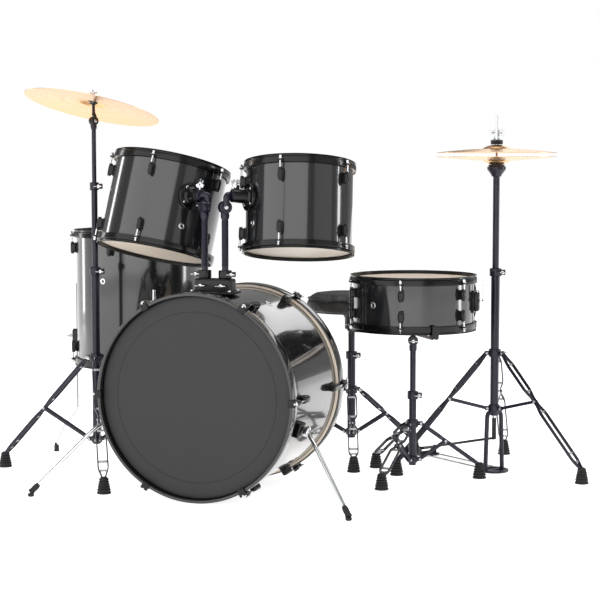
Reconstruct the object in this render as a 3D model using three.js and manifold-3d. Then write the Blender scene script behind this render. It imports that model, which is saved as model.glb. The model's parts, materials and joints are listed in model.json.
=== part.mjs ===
// Five-piece acoustic drum kit with cymbals, stands, bass drum pedal and throne.
// Millimetres, +Z up, +Y from the bass drum's front head towards the player.
import * as THREE from 'three';
import { mergeVertices } from 'three/addons/utils/BufferGeometryUtils.js';
import Module from 'manifold-3d';

const wasm = await Module();
wasm.setup();

// ---------------------------------------------------------------- driving sizes
const GAP = 0.4;                 // clearance between pieces that only touch
const SLIDE = 1.3;               // radial clearance of a tube in a tube
const FACETS_PER_LUG = 4;        // facets of a drum between one lug and the next
const TUBE_SIDES = 8;            // facets round a tube
const ROD_SIDES = 4;             // facets round a tension rod or a leg's bar
const CYMBAL_SIDES = 24;         // facets round a cymbal

const BASS_RADIUS = 279.5;
const BASS_DEPTH = 406;
const SHELL_WALL = 7;
const BASS_HOOP_WALL = 9;
const BASS_HOOP_DEPTH = 38;
const BASS_HOOP_PROUD = 20;      // hoop beyond the shell's edge
const BASS_HEAD_WALL = 8;        // how far a bass head's rim stands out from the shell
const BASS_LUG_COUNT = 6;

const TOM_RIGHT_RADIUS = 152.5;
const TOM_RIGHT_DEPTH = 240;
const TOM_LEFT_RADIUS = 165;
const TOM_LEFT_DEPTH = 254;
const FLOOR_RADIUS = 203;
const FLOOR_DEPTH = 406;
const FLOOR_BOTTOM = 310;        // floor to the floor tom's lower shell edge
const SNARE_RADIUS = 178;
const SNARE_DEPTH = 140;
const SNARE_BOTTOM = 458;        // floor to the snare's lower shell edge
const TOM_LUG_COUNT = 5;
const FLOOR_LUG_COUNT = 6;
const SNARE_LUG_COUNT = 6;

const POST_RADIUS = 10;
const POST_SPACING = 62;         // between the two tom posts
const POST_RISE = 199.4;         // tilter's axis above the tom mount
const ARM_RISE = 35;             // from the tilter's axis up to the arm
const ARM_RADIUS = 11;
const MOUNT_Y = -60;             // tom mount along the bass drum
const MOUNT_HEIGHT = 42;

const CRASH_RADIUS = 203;
const HIHAT_RADIUS = 179;
const HIHAT_GAP = 10;            // between the two cymbals' edges when open
const SEAT_RADIUS = 150;
const SEAT_THICKNESS = 62;

// places on the floor, bass drum's centre at 0, 0
const BASS_REAR = BASS_DEPTH / 2;
const SNARE_AT = [BASS_RADIUS + SNARE_RADIUS + 11.5, BASS_REAR + 133];
const HIHAT_AT = [SNARE_AT[0] + 204, SNARE_AT[1] + 189];
const THRONE_AT = [194, BASS_REAR + 396];
const PEDAL_AT = [0, BASS_REAR + 61];
const CRASH_STAND_Y = 96;
const CRASH_BESIDE_BASS = 172.5; // crash stand's axis beyond the bass drum's side
const CRASH_BESIDE_TOM = 63.5;   // and beyond the left tom's shell
const FLOOR_TOM_BESIDE = -28.5;  // floor tom's shell beyond the bass drum's side
const TOM_APART = 32;            // between the left tom's shell and the floor tom's

// ---------------------------------------------------------------- finishes
function finish(color, roughness, metalness) {
  return () => new THREE.MeshStandardMaterial({ color, roughness, metalness });
}
const wrap = finish(0x26272a, 0.22, 0.1);
const blackHoop = finish(0x101012, 0.3, 0.3);
const darkHead = finish(0x2b2b2d, 0.7, 0);
const creamHead = finish(0xe9dccb, 0.6, 0);
const chrome = finish(0xc8cacc, 0.15, 1);
const blackCoat = finish(0x17141f, 0.38, 0.4);
const brass = finish(0xd9a574, 0.28, 1);
const vinyl = finish(0x1c1c1e, 0.5, 0);
const castBlack = finish(0x141416, 0.45, 0.3);

// ---------------------------------------------------------------- solids
const RAD = Math.PI / 180;
const vec = (x, y, z) => new THREE.Vector3(x, y, z);
const polar = (r, degrees, z) => vec(r * Math.cos(degrees * RAD), r * Math.sin(degrees * RAD), z);
const along = (direction, distance, z = 0) => direction.clone().multiplyScalar(distance).add(vec(0, 0, z));
const spaced = (count, start = 0) => Array.from({ length: count }, (_, i) => start + (i * 360) / count);

function solid(geometry) {
  const bare = geometry.index ? geometry.toNonIndexed() : geometry;
  for (const name of Object.keys(bare.attributes)) {
    if (name !== 'position') bare.deleteAttribute(name);
  }
  const merged = mergeVertices(bare, 1e-3);
  const index = merged.index.array;
  const faces = [];
  for (let i = 0; i < index.length; i += 3) {
    const [a, b, c] = [index[i], index[i + 1], index[i + 2]];
    if (a !== b && b !== c && c !== a) faces.push(a, b, c);
  }
  const vertProperties = new Float32Array(merged.attributes.position.array);
  return new wasm.Manifold(new wasm.Mesh({ numProp: 3, vertProperties, triVerts: Uint32Array.from(faces) }));
}

const join = (...solids) => solids.flat().reduce((whole, part) => whole.add(part));
const cut = (body, ...tools) => tools.flat().reduce((left, tool) => left.subtract(tool), body);

// a profile of [radius, height] points turned round Z, with a facet's middle at azimuth `facing`
function turned(profile, sides, facing = -90 + 180 / sides) {
  const points = profile.map(([r, z]) => new THREE.Vector2(r, z));
  const start = (facing + 90 + 180 / sides) * RAD;
  return solid(new THREE.LatheGeometry(points, sides, start).rotateX(Math.PI / 2));
}

// closed ring of rectangular section
function ring(inner, outer, low, high, sides, facing) {
  return turned([[inner, low], [outer, low], [outer, high], [inner, high], [inner, low]], sides, facing);
}

// distance from the axis to the middle of a facet
const flat = (radius, sides) => radius * Math.cos(Math.PI / sides);

function disc(radius, low, high, sides) {
  return turned([[0, low], [radius, low], [radius, high], [0, high]], sides);
}

// straight round bar from a to b
function bar(a, b, radius, sides = 6, endRadius = radius) {
  const span = b.clone().sub(a);
  const geometry = new THREE.CylinderGeometry(endRadius, radius, span.length(), sides);
  const turn = new THREE.Quaternion().setFromUnitVectors(vec(0, 1, 0), span.clone().normalize());
  geometry.applyQuaternion(turn);
  const middle = a.clone().add(b).multiplyScalar(0.5);
  return solid(geometry.translate(middle.x, middle.y, middle.z));
}

// bent rod through the points, its straight stretches running on a little past each bend
function rod(points, radius, sides = 6) {
  const last = points.length - 2;
  return join(points.slice(1).map((point, i) => {
    const overrun = point.clone().sub(points[i]).normalize().multiplyScalar(radius * 0.5);
    const from = i > 0 ? points[i].clone().sub(overrun) : points[i];
    const to = i < last ? point.clone().add(overrun) : point;
    return bar(from, to, radius, sides);
  }));
}

// box of size [radial, across, high] standing at azimuth `degrees`, its inner face at radius r
function block(r, degrees, z, [deep, wide, high]) {
  const geometry = new THREE.BoxGeometry(deep, wide, high).translate(r + deep / 2, 0, z);
  return solid(geometry.rotateZ(degrees * RAD));
}

// flat outline of [radius, height] points, `wide` thick, standing at an azimuth
function plate(outline, degrees, wide, side = 1) {
  const shape = new THREE.Shape(outline.map(([r, z]) => new THREE.Vector2(r, side * z)));
  const geometry = new THREE.ExtrudeGeometry(shape, { depth: wide, bevelEnabled: false });
  return solid(geometry.translate(0, 0, -wide / 2).rotateX(Math.PI / 2).rotateZ(degrees * RAD));
}

const brick = (x, y, z, [a, b, c]) => solid(new THREE.BoxGeometry(a, b, c).translate(x, y, z));

function piece(name, body, material) {
  const data = body.getMesh();
  const geometry = new THREE.BufferGeometry();
  geometry.setAttribute('position', new THREE.BufferAttribute(new Float32Array(data.vertProperties), 3));
  geometry.setIndex(new THREE.BufferAttribute(new Uint32Array(data.triVerts), 1));
  geometry.computeVertexNormals();
  const mesh = new THREE.Mesh(geometry, material());
  mesh.name = name;
  return mesh;
}

function body(x, y, z, ...meshes) {
  const group = new THREE.Group();
  group.position.set(x, y, z);
  group.add(...meshes);
  return group;
}

// ---------------------------------------------------------------- small drums
const LUG = { deep: 18, wide: 16, high: 34 };
const HOOP = { inner: 2, outer: 9, proud: 12, skirt: 12 };
const ROD_RADIUS = 3;
const ROD_OFFSET = 15;           // tension rod's axis beyond the shell
const EAR = 7;                   // height of the hoop's ears
const HEAD_FILM = 1.2;
const FLESH_HOOP = { inner: 1, outer: 6, low: -9 };

// height of the lug's centre from the shell's edge
const LUG_INSET = 46;

function drumHead(name, radius, edge, side, material, sides, facing) {
  const film = edge + GAP;
  const profile = [
    [0, film], [radius + FLESH_HOOP.inner, film], [radius + FLESH_HOOP.inner, edge + FLESH_HOOP.low],
    [radius + FLESH_HOOP.outer, edge + FLESH_HOOP.low], [radius + FLESH_HOOP.outer, film + HEAD_FILM],
    [0, film + HEAD_FILM],
  ];
  return piece(name, turned(onSide(profile, side), sides, facing), material);
}

// side 1 keeps a profile on the upper edge, side -1 turns it over for the lower edge
function onSide(profile, side) {
  if (side > 0) return profile;
  return profile.map(([r, z]) => [r, -z]).reverse();
}

function drumHoop(name, radius, edge, side, lugAngles, lugInset, sides) {
  const seat = edge + GAP + HEAD_FILM + GAP;
  const profile = [
    [radius + HOOP.inner, seat], [radius + FLESH_HOOP.outer + GAP, seat],
    [radius + FLESH_HOOP.outer + GAP, edge - HOOP.skirt], [radius + HOOP.outer, edge - HOOP.skirt],
    [radius + HOOP.outer, seat + 3], [radius + HOOP.inner + 3, edge + HOOP.proud],
    [radius + HOOP.inner, edge + HOOP.proud], [radius + HOOP.inner, seat],
  ];
  const hoop = turned(onSide(profile, side), sides, lugAngles[0]);
  const skirt = flat(radius + HOOP.outer, sides) - 1.5;
  const rodEnd = edge - lugInset + LUG.high / 2 + GAP;
  const axis = radius + ROD_OFFSET;
  const earAndRod = [
    [skirt, edge - HOOP.skirt + 1], [axis - ROD_RADIUS, edge - HOOP.skirt + 1],
    [axis - ROD_RADIUS, rodEnd], [axis + ROD_RADIUS, rodEnd], [axis + ROD_RADIUS, edge - HOOP.skirt + EAR],
    [skirt, edge - HOOP.skirt + EAR],
  ];
  const rods = lugAngles.map((angle) => plate(earAndRod, angle, 2 * ROD_RADIUS, side));
  return piece(name, join(hoop, rods), blackHoop);
}

// shell, two hoops and two heads; extras are joined to the shell, holes are cut through it
function drum(name, { radius, depth, lugAngles, lugInset = LUG_INSET, extras = [], holes = [] }) {
  const edge = depth / 2;
  const sides = FACETS_PER_LUG * lugAngles.length;
  const facing = lugAngles[0];
  const sunk = radius - flat(radius, sides) + 2;
  const lugs = lugAngles.flatMap((angle) => [1, -1].map((side) => (
    block(radius - sunk, angle, side * (edge - lugInset), [LUG.deep + sunk, LUG.wide, LUG.high]))));
  const shell = cut(join(ring(radius - SHELL_WALL, radius, -edge, edge, sides, facing), lugs, extras), holes);
  return [
    piece(`${name}_shell`, shell, wrap),
    drumHead(`${name}_top_head`, radius, edge, 1, creamHead, sides, facing),
    drumHead(`${name}_bottom_head`, radius, edge, -1, creamHead, sides, facing),
    drumHoop(`${name}_top_hoop`, radius, edge, 1, lugAngles, lugInset, sides),
    drumHoop(`${name}_bottom_hoop`, radius, edge, -1, lugAngles, lugInset, sides),
  ];
}

// ---------------------------------------------------------------- bass drum
const BASS_HOOP_OUTER = BASS_RADIUS + 2.6 + BASS_HOOP_WALL;   // the hoop fits round the head's collar
const BASS_HEIGHT = BASS_HOOP_OUTER;
const BASS_SIDES = FACETS_PER_LUG * BASS_LUG_COUNT;
const BASS_ROD_OFFSET = 19;
const BASS_LUG = { deep: 24, wide: 22, high: 44, inset: 74 };
const BASS_COLLAR = 28;          // depth of a bass head's collar
const BASS_COLLAR_FIT = 0.6;     // collar's bore beyond the shell
const BASS_COLLAR_WALL = 1.4;
const BASS_FLESH_HIGH = 9;
const CLAW = { wide: 12, thick: 5, lap: 2, rodHalf: 4 };

function bassHead(name, side, material) {
  const edge = BASS_DEPTH / 2;
  const film = edge + GAP;
  const inner = BASS_RADIUS + BASS_COLLAR_FIT;
  const outer = BASS_RADIUS + BASS_HEAD_WALL;
  const low = edge - BASS_COLLAR;
  const profile = [
    [0, film], [inner, film], [inner, low], [outer, low], [outer, low + BASS_FLESH_HIGH],
    [inner + BASS_COLLAR_WALL, low + BASS_FLESH_HIGH], [inner + BASS_COLLAR_WALL, film + HEAD_FILM],
    [0, film + HEAD_FILM],
  ];
  return piece(name, turned(onSide(profile, side), BASS_SIDES, 0), material);
}

function bassHoop(name, side, angles) {
  const edge = BASS_DEPTH / 2;
  const inner = BASS_HOOP_OUTER - BASS_HOOP_WALL;
  const front = edge + BASS_HOOP_PROUD;
  const low = Math.min(side * front, side * (front - BASS_HOOP_DEPTH));
  const hoop = ring(inner, BASS_HOOP_OUTER, low, low + BASS_HOOP_DEPTH, BASS_SIDES, 0);
  const rodRadius = BASS_RADIUS + BASS_ROD_OFFSET;
  const lugFace = edge - BASS_LUG.inset + BASS_LUG.high / 2 + GAP;
  const clawAndRod = [
    [inner - CLAW.lap, front - 1], [inner - CLAW.lap, front + CLAW.thick],
    [rodRadius + CLAW.rodHalf, front + CLAW.thick], [rodRadius + CLAW.rodHalf, lugFace],
    [rodRadius - CLAW.rodHalf, lugFace], [rodRadius - CLAW.rodHalf, front - 1],
  ];
  return piece(name, join(hoop, angles.map((angle) => plate(clawAndRod, angle, CLAW.wide, side))), blackHoop);
}

const bassLugAngles = spaced(BASS_LUG_COUNT, 0);   // local azimuth 0 is the drum's right side
const MOUNT_LOCAL_Z = -MOUNT_Y;                     // local Z of the bass drum points to the front head
const THROUGH = 60;                                 // a hole's cutter reaches well past the wall
const SPUR_ANGLE = 17;                              // spur bracket below the drum's side
const SPUR_BRACKET = { deep: 20, wide: 44, high: 40, forward: 34 };
const SPUR_LOCAL_Z = BASS_REAR - 58;
const SPUR_PIVOT_RADIUS = BASS_RADIUS + SPUR_BRACKET.deep;

function bassShell() {
  const edge = BASS_DEPTH / 2;
  const sunk = BASS_RADIUS - flat(BASS_RADIUS, BASS_SIDES) + 2;
  const lugs = bassLugAngles.flatMap((angle) => [1, -1].map((side) => (
    block(BASS_RADIUS - sunk, angle, side * (edge - BASS_LUG.inset),
      [BASS_LUG.deep + sunk, BASS_LUG.wide, BASS_LUG.high]))));
  // local +Y is up once the drum lies on its side, so the spurs sit a little on the local -Y side
  const brackets = [-SPUR_ANGLE, 180 + SPUR_ANGLE].map((angle) => (
    block(BASS_RADIUS - sunk, angle, SPUR_LOCAL_Z - SPUR_BRACKET.forward,
      [SPUR_BRACKET.deep + sunk, SPUR_BRACKET.wide, SPUR_BRACKET.high])));
  const postHoles = [-1, 1].map((side) => bar(
    vec(side * POST_SPACING / 2, BASS_RADIUS + THROUGH, MOUNT_LOCAL_Z),
    vec(side * POST_SPACING / 2, BASS_RADIUS - THROUGH, MOUNT_LOCAL_Z), POST_RADIUS + SLIDE + 1, TUBE_SIDES));
  const shell = ring(BASS_RADIUS - SHELL_WALL, BASS_RADIUS, -edge, edge, BASS_SIDES, 0);
  return piece('bass_shell', cut(join(shell, lugs, brackets), postHoles), wrap);
}

const bassGroup = body(0, 0, BASS_HEIGHT,
  bassShell(),
  bassHead('bass_front_head', 1, darkHead),
  bassHead('bass_rear_head', -1, creamHead),
  bassHoop('bass_front_hoop', 1, bassLugAngles),
  bassHoop('bass_rear_hoop', -1, bassLugAngles));
bassGroup.rotation.x = Math.PI / 2;

const kit = new THREE.Group();
kit.add(bassGroup);

// ---------------------------------------------------------------- spurs
const SPUR_RADIUS = 6;
const SPUR_REACH = [165, -142];   // foot from the pivot, sideways and forwards
const SPUR_KNEE = [34, -30, -24]; // bend, from the pivot
const SPUR_HUB = { radius: 17, inner: 3, outer: 12 };
const SPUR_TIP = { radius: 9, high: 20, long: 10, pad: 16 };
function spur(name, side) {
  const height = BASS_HEIGHT - Math.sin(SPUR_ANGLE * RAD) * SPUR_PIVOT_RADIUS;
  const x = side * (Math.cos(SPUR_ANGLE * RAD) * SPUR_PIVOT_RADIUS + 12);
  const foot = vec(side * SPUR_REACH[0], SPUR_REACH[1], -height + SPUR_TIP.high);
  const knee = vec(side * SPUR_KNEE[0], SPUR_KNEE[1], SPUR_KNEE[2]);
  const toe = foot.clone().add(foot.clone().sub(knee).normalize().multiplyScalar(SPUR_TIP.long));
  const shape = join(
    bar(vec(-side * SPUR_HUB.inner, 0, 0), vec(side * SPUR_HUB.outer, 0, 0), SPUR_HUB.radius, TUBE_SIDES),
    rod([vec(side * 4, 0, 0), knee, foot], SPUR_RADIUS),
    bar(foot, toe.setZ(-height + SPUR_TIP.radius), SPUR_TIP.radius, 8),
    brick(toe.x, toe.y, -height + SPUR_TIP.long / 2, [SPUR_TIP.pad, SPUR_TIP.pad, SPUR_TIP.long]));
  const group = body(x, -SPUR_LOCAL_Z + 6, height, piece(name, shape, chrome));
  kit.attach(group);
}
spur('spur_left', -1);
spur('spur_right', 1);

// ---------------------------------------------------------------- tom mount and toms
const MOUNT_TOP = BASS_HEIGHT + BASS_RADIUS + MOUNT_HEIGHT;
const MOUNT_BASE = BASS_HEIGHT + flat(BASS_RADIUS, BASS_SIDES) + GAP;   // on the shell's top facet
const POST_TOP = MOUNT_TOP + POST_RISE;
const boreRadius = POST_RADIUS + SLIDE;
const MOUNT = { beside: 30, deep: 52, flange: 10, flangeDeep: 84, flangeThick: 8 };
const mountBores = [-1, 1].map((side) => bar(
  vec(side * POST_SPACING / 2, MOUNT_Y, MOUNT_BASE - THROUGH), vec(side * POST_SPACING / 2, MOUNT_Y, MOUNT_TOP + THROUGH),
  boreRadius, TUBE_SIDES));
const mountBlock = join(
  brick(0, MOUNT_Y, (MOUNT_BASE + MOUNT_TOP) / 2,
    [POST_SPACING + 2 * MOUNT.beside, MOUNT.deep, MOUNT_TOP - MOUNT_BASE]),
  brick(0, MOUNT_Y, MOUNT_BASE + MOUNT.flangeThick / 2,
    [POST_SPACING + 2 * (MOUNT.beside + MOUNT.flange), MOUNT.flangeDeep, MOUNT.flangeThick]));
kit.add(piece('tom_mount_bracket', cut(mountBlock, mountBores), castBlack));

const LOCK_HEIGHT = 22;
const LOCK_RADIUS = 19;
const LOCK_SCREW = { out: 5, size: [18, 12, 14] };
const POST_LENGTH_BELOW = 150;   // of a tom post below the mount's top
const TILTER = { radius: 18, half: 12 };
const RECEIVER = { plate: 40, plateThick: 10, mouth: 56, wall: 8, socket: 80 };
const TIP_IN = 14;               // arm's tip from the shell, inside its receiver

function place(group, parent) {
  parent.attach(group);
  return group;
}

// one rack tom on its post; side -1 is the left tom
function rackTom(name, side, { radius, depth, yaw, axis, reach, offset, lugStart }) {
  const x = side * POST_SPACING / 2;
  const arm = vec(Math.cos(yaw * RAD), Math.sin(yaw * RAD), 0);
  const hinge = vec(-arm.y, arm.x, 0);

  const lock = place(body(x, MOUNT_Y, MOUNT_TOP + GAP,
    piece(`tom_memory_lock_${name}`, cut(
      join(ring(boreRadius - 2, LOCK_RADIUS, 0, LOCK_HEIGHT, TUBE_SIDES),
        brick(side * (LOCK_RADIUS + LOCK_SCREW.out), 0, LOCK_HEIGHT / 2, LOCK_SCREW.size)),
      bar(vec(0, 0, -1), vec(0, 0, LOCK_HEIGHT + 1), boreRadius, TUBE_SIDES)), castBlack)), kit);

  const neck = POST_RISE - TILTER.radius;
  const postShape = join(
    bar(vec(0, 0, -POST_LENGTH_BELOW), vec(0, 0, neck + 2), POST_RADIUS, TUBE_SIDES),
    bar(along(hinge, GAP / 2, POST_RISE), along(hinge, TILTER.half, POST_RISE), TILTER.radius, TUBE_SIDES),
    bar(vec(0, 0, neck - 12), along(hinge, 4, neck + 1), POST_RADIUS + 2, TUBE_SIDES));
  // room for the arm's half of the tilter to turn beside the post
  const sweep = bar(along(hinge, -GAP / 2, POST_RISE), along(hinge, -TILTER.half - 8, POST_RISE),
    TILTER.radius + 2, 16);
  const post = place(body(x, MOUNT_Y, MOUNT_TOP,
    piece(`tom_post_${name}`, cut(postShape, sweep), blackCoat)), lock);

  // the tom's own frame: local Z is its axis, local azimuth yaw + 180 faces the post
  const tomTurn = new THREE.Quaternion().setFromUnitVectors(vec(0, 0, 1), axis.clone().normalize());
  const toPost = polar(1, yaw + 180, 0).applyQuaternion(tomTurn);
  const elbow = vec(0, 0, ARM_RISE);
  const tipReach = radius + TIP_IN;
  const tip = elbow.clone().addScaledVector(toPost, -(reach - tipReach));
  const armShape = join(
    bar(along(hinge, -GAP / 2), along(hinge, -TILTER.half), TILTER.radius, TUBE_SIDES),
    bar(along(hinge, 1 - TILTER.half), along(hinge, 1 - TILTER.half, ARM_RISE), ARM_RADIUS - 2, TUBE_SIDES),
    rod([along(hinge, 1 - TILTER.half, ARM_RISE), elbow, tip], ARM_RADIUS, TUBE_SIDES));
  const armBody = place(body(x, MOUNT_Y, POST_TOP, piece(`tom_arm_${name}`, armShape, blackCoat)), post);

  const centre = vec(x, MOUNT_Y, POST_TOP).add(elbow).addScaledVector(toPost, -reach)
    .addScaledVector(axis.clone().normalize(), -offset);
  const azimuth = yaw + 180;
  const mouth = polar(radius + RECEIVER.mouth, azimuth, offset);
  const receiver = join(
    bar(polar(radius - 5, azimuth, offset), polar(radius + RECEIVER.plateThick, azimuth, offset),
      RECEIVER.plate, 12),
    bar(polar(radius + RECEIVER.plateThick - 2, azimuth, offset), mouth, ARM_RADIUS + RECEIVER.wall,
      TUBE_SIDES));
  const socket = bar(polar(radius + 4, azimuth, offset), polar(radius + RECEIVER.socket, azimuth, offset),
    ARM_RADIUS + SLIDE, TUBE_SIDES);
  const tom = body(centre.x, centre.y, centre.z, ...drum(`tom_${name}`, {
    radius, depth, lugAngles: spaced(TOM_LUG_COUNT, lugStart), extras: [receiver], holes: [socket],
  }));
  tom.quaternion.copy(tomTurn);
  place(tom, armBody);
  return centre;
}

rackTom('right', 1, {
  radius: TOM_RIGHT_RADIUS, depth: TOM_RIGHT_DEPTH, yaw: 43.8, axis: vec(-0.042, 0.177, 0.98),
  reach: TOM_RIGHT_RADIUS + 76, offset: 21, lugStart: -161.4,
});
const leftTomAt = rackTom('left', -1, {
  radius: TOM_LEFT_RADIUS, depth: TOM_LEFT_DEPTH, yaw: 139.5, axis: vec(0.115, 0.24, 0.96),
  reach: TOM_LEFT_RADIUS + 84, offset: 28, lugStart: -156.8,
});

// ---------------------------------------------------------------- floor tom
const FLOOR_LEG = { radius: 5.5, offset: 19, foot: FLOOR_RADIUS + 93, bend: 130, top: 240 };
const LEG_BRACKET = { size: [36, 34, 50], rise: 70, cutter: 40 };
const floorLegAngles = [-174.8, -54.8, 65.2];
const floorCentre = FLOOR_BOTTOM + FLOOR_DEPTH / 2;
// the floor tom stands behind the bass drum and clear of the left tom
const floorX = -(BASS_RADIUS + FLOOR_RADIUS + FLOOR_TOM_BESIDE);
const apart = TOM_LEFT_RADIUS + FLOOR_RADIUS + TOM_APART;
const behindTom = Math.sqrt(Math.max(0, apart ** 2 - (floorX - leftTomAt.x) ** 2));
const FLOOR_TOM_AT = [floorX, Math.max(BASS_REAR + FLOOR_RADIUS + 1, leftTomAt.y + behindTom)];
const legBracketZ = FLOOR_BOTTOM + LEG_BRACKET.rise - floorCentre;
const floorTom = body(FLOOR_TOM_AT[0], FLOOR_TOM_AT[1], floorCentre, ...drum('floor_tom', {
  radius: FLOOR_RADIUS, depth: FLOOR_DEPTH, lugAngles: spaced(FLOOR_LUG_COUNT, -151.8),
  extras: floorLegAngles.map((angle) => block(FLOOR_RADIUS - 5, angle, legBracketZ, LEG_BRACKET.size)),
  holes: floorLegAngles.map((angle) => bar(
    polar(FLOOR_RADIUS + FLOOR_LEG.offset, angle, legBracketZ - LEG_BRACKET.cutter),
    polar(FLOOR_RADIUS + FLOOR_LEG.offset, angle, legBracketZ + LEG_BRACKET.cutter),
    FLOOR_LEG.radius + SLIDE, 8)),
}));
kit.add(floorTom);

floorLegAngles.forEach((angle, i) => {
  const r = FLOOR_RADIUS + FLOOR_LEG.offset;
  const foot = polar(FLOOR_LEG.foot, angle, 24);
  const shape = join(
    rod([polar(r, angle, FLOOR_BOTTOM + FLOOR_LEG.top), polar(r, angle, FLOOR_LEG.bend),
      polar(r + 40, angle, 92), foot], FLOOR_LEG.radius),
    bar(polar(FLOOR_LEG.foot, angle, 28), polar(FLOOR_LEG.foot, angle, 0), 9, 8));
  kit.attach(body(FLOOR_TOM_AT[0], FLOOR_TOM_AT[1], 0, piece(`floor_tom_leg_${i + 1}`, shape, chrome)));
});

// ---------------------------------------------------------------- stands
const BOOT = { top: 11, foot: 18, high: 46 };

const LEG = { half: 16, pinch: 6, thick: 7, rail: 6, ramp: 44, land: 14, lap: 2 };
const COLLAR = { wall: 6, half: 12, lug: [18, 12, 14] };       // slides on the tube, holds the legs
const BRACE = { wall: 5, half: 10, lug: [10, 12, 12], radius: 4.5 };
const CLAMP = { wall: 5, high: 24, lug: [18, 10, 12], out: 10 };   // grips the next tube
const LEG_HINGE = 14;            // leg's hinge from the tube

// leg of two bowed rails that meet at both ends and at the brace's pivot
function slottedLeg(start, end, side, share) {
  const span = end.clone().sub(start);
  const length = span.length();
  const pivot = share * length;
  const x = span.normalize();
  const frame = new THREE.Matrix4().makeBasis(x, side, x.clone().cross(side)).setPosition(start);
  const bow = (from, to, half, pinch, thick) => {
    const ramp = Math.min(LEG.ramp, (to - from) / 3);
    const upper = [[from, pinch], [from + ramp, half], [to - ramp, half], [to, pinch]];
    const lower = upper.map(([a, b]) => [a, -b]).reverse();
    const outline = new THREE.Shape([...upper, ...lower].map(([a, b]) => new THREE.Vector2(a, b)));
    return solid(new THREE.ExtrudeGeometry(outline, { depth: thick, bevelEnabled: false })
      .translate(0, 0, -thick / 2).applyMatrix4(frame));
  };
  const slot = (from, to) => bow(from, to, LEG.half - LEG.rail, 1, 2 * LEG.thick);
  return cut(
    join(bow(0, pivot + LEG.lap, LEG.half, LEG.pinch, LEG.thick),
      bow(pivot - LEG.lap, length, LEG.half, LEG.pinch, LEG.thick)),
    slot(LEG.land, pivot - LEG.land), slot(pivot + LEG.land, length - 2 * LEG.land));
}

// outer tube with two collars and three double-barred legs with braces, feet on the floor
function tripod({ tube, bore, bottom, top, collar, brace, foot, angles, share, floor }) {
  const legs = angles.flatMap((angle) => {
    const side = polar(1, angle + 90, 0);
    const start = polar(tube + LEG_HINGE, angle, collar);
    const end = polar(foot, angle, BOOT.high - 6);
    const middle = start.clone().lerp(end, share);
    const low = polar(tube + COLLAR.wall, angle, brace);
    return [
      slottedLeg(start, end, side, share),
      block(tube - 2, angle, collar, COLLAR.lug),
      bar(low, middle, BRACE.radius, ROD_SIDES),
      block(tube - 2, angle, brace, BRACE.lug),
      bar(polar(foot, angle, 0), polar(foot, angle, BOOT.high), BOOT.foot, 6, BOOT.top),
    ];
  });
  const column = join(
    disc(tube, bottom, top, TUBE_SIDES),
    disc(tube + COLLAR.wall, collar - COLLAR.half, collar + COLLAR.half, TUBE_SIDES),
    disc(tube + BRACE.wall, brace - BRACE.half, brace + BRACE.half, TUBE_SIDES),
    disc(tube + CLAMP.wall, top - CLAMP.high, top, TUBE_SIDES),
    brick(tube + CLAMP.out, 0, top - CLAMP.high / 2, CLAMP.lug));
  return cut(join(column, legs), bar(vec(0, 0, floor), vec(0, 0, top + 1), bore, TUBE_SIDES));
}

// crash cymbal stand, clear of the bass drum's spur and of the left tom
const CRASH_STAND = [
  -Math.max(BASS_RADIUS + CRASH_BESIDE_BASS, TOM_LEFT_RADIUS - leftTomAt.x + CRASH_BESIDE_TOM), CRASH_STAND_Y];
const CRASH_TUBE = { base: 12, middle: 9, upper: 6.6 };
const CRASH_HEIGHTS = { clamp: 625, second: POST_TOP + 67, hinge: POST_TOP + 249 };
const crashBase = piece('crash_stand_base', tripod({
  tube: CRASH_TUBE.base, bore: CRASH_TUBE.middle + SLIDE, bottom: 90, top: CRASH_HEIGHTS.clamp,
  collar: 353, brace: 104, foot: 315, angles: [180, 300, 60], share: 0.52, floor: 100,
}), blackCoat);
kit.add(body(CRASH_STAND[0], CRASH_STAND[1], 0, crashBase));

// a tube that slides in the one below it, with a clamp at its own top for the next
function stageTube(name, radius, bore, low, high, clamp) {
  const tube = join(disc(radius, low, high, TUBE_SIDES),
    disc(clamp, high - CLAMP.high, high, TUBE_SIDES),
    brick(clamp + 4, 0, high - CLAMP.high / 2, [16, 9, 12]));
  return piece(name, cut(tube, bar(vec(0, 0, low - 1), vec(0, 0, high + 1), bore, TUBE_SIDES)), blackCoat);
}
const middleTube = stageTube('crash_stand_middle_tube', CRASH_TUBE.middle, CRASH_TUBE.upper + SLIDE,
  -170, CRASH_HEIGHTS.second - CRASH_HEIGHTS.clamp, CRASH_TUBE.base + 2);
const crashMiddle = body(...CRASH_STAND, CRASH_HEIGHTS.clamp, middleTube);
kit.attach(crashMiddle);

const crashNormal = vec(0.122, 0.224, 0.97).normalize();
const crashHinge = vec(0, 0, 1).cross(crashNormal).normalize();
const hingeZ = CRASH_HEIGHTS.hinge - CRASH_HEIGHTS.second;
const CRASH_TILTER = { radius: 13, half: 9, stem: 6.8, stemRadius: 6 };
const upperShape = cut(join(
  bar(vec(0, 0, -120), vec(0, 0, hingeZ - 10), CRASH_TUBE.upper, TUBE_SIDES),
  bar(vec(0, 0, hingeZ - 22), along(crashHinge, 3, hingeZ - 8), CRASH_TUBE.upper + 3, TUBE_SIDES),
  bar(along(crashHinge, GAP / 2, hingeZ), along(crashHinge, CRASH_TILTER.half, hingeZ),
    CRASH_TILTER.radius, TUBE_SIDES)),
bar(along(crashHinge, -GAP / 2, hingeZ), along(crashHinge, -30, hingeZ), CRASH_TILTER.radius + 2, 16));
const crashUpper = body(CRASH_STAND[0], CRASH_STAND[1], CRASH_HEIGHTS.second,
  piece('crash_stand_upper_tube', upperShape, blackCoat));
place(crashUpper, crashMiddle);

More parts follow.
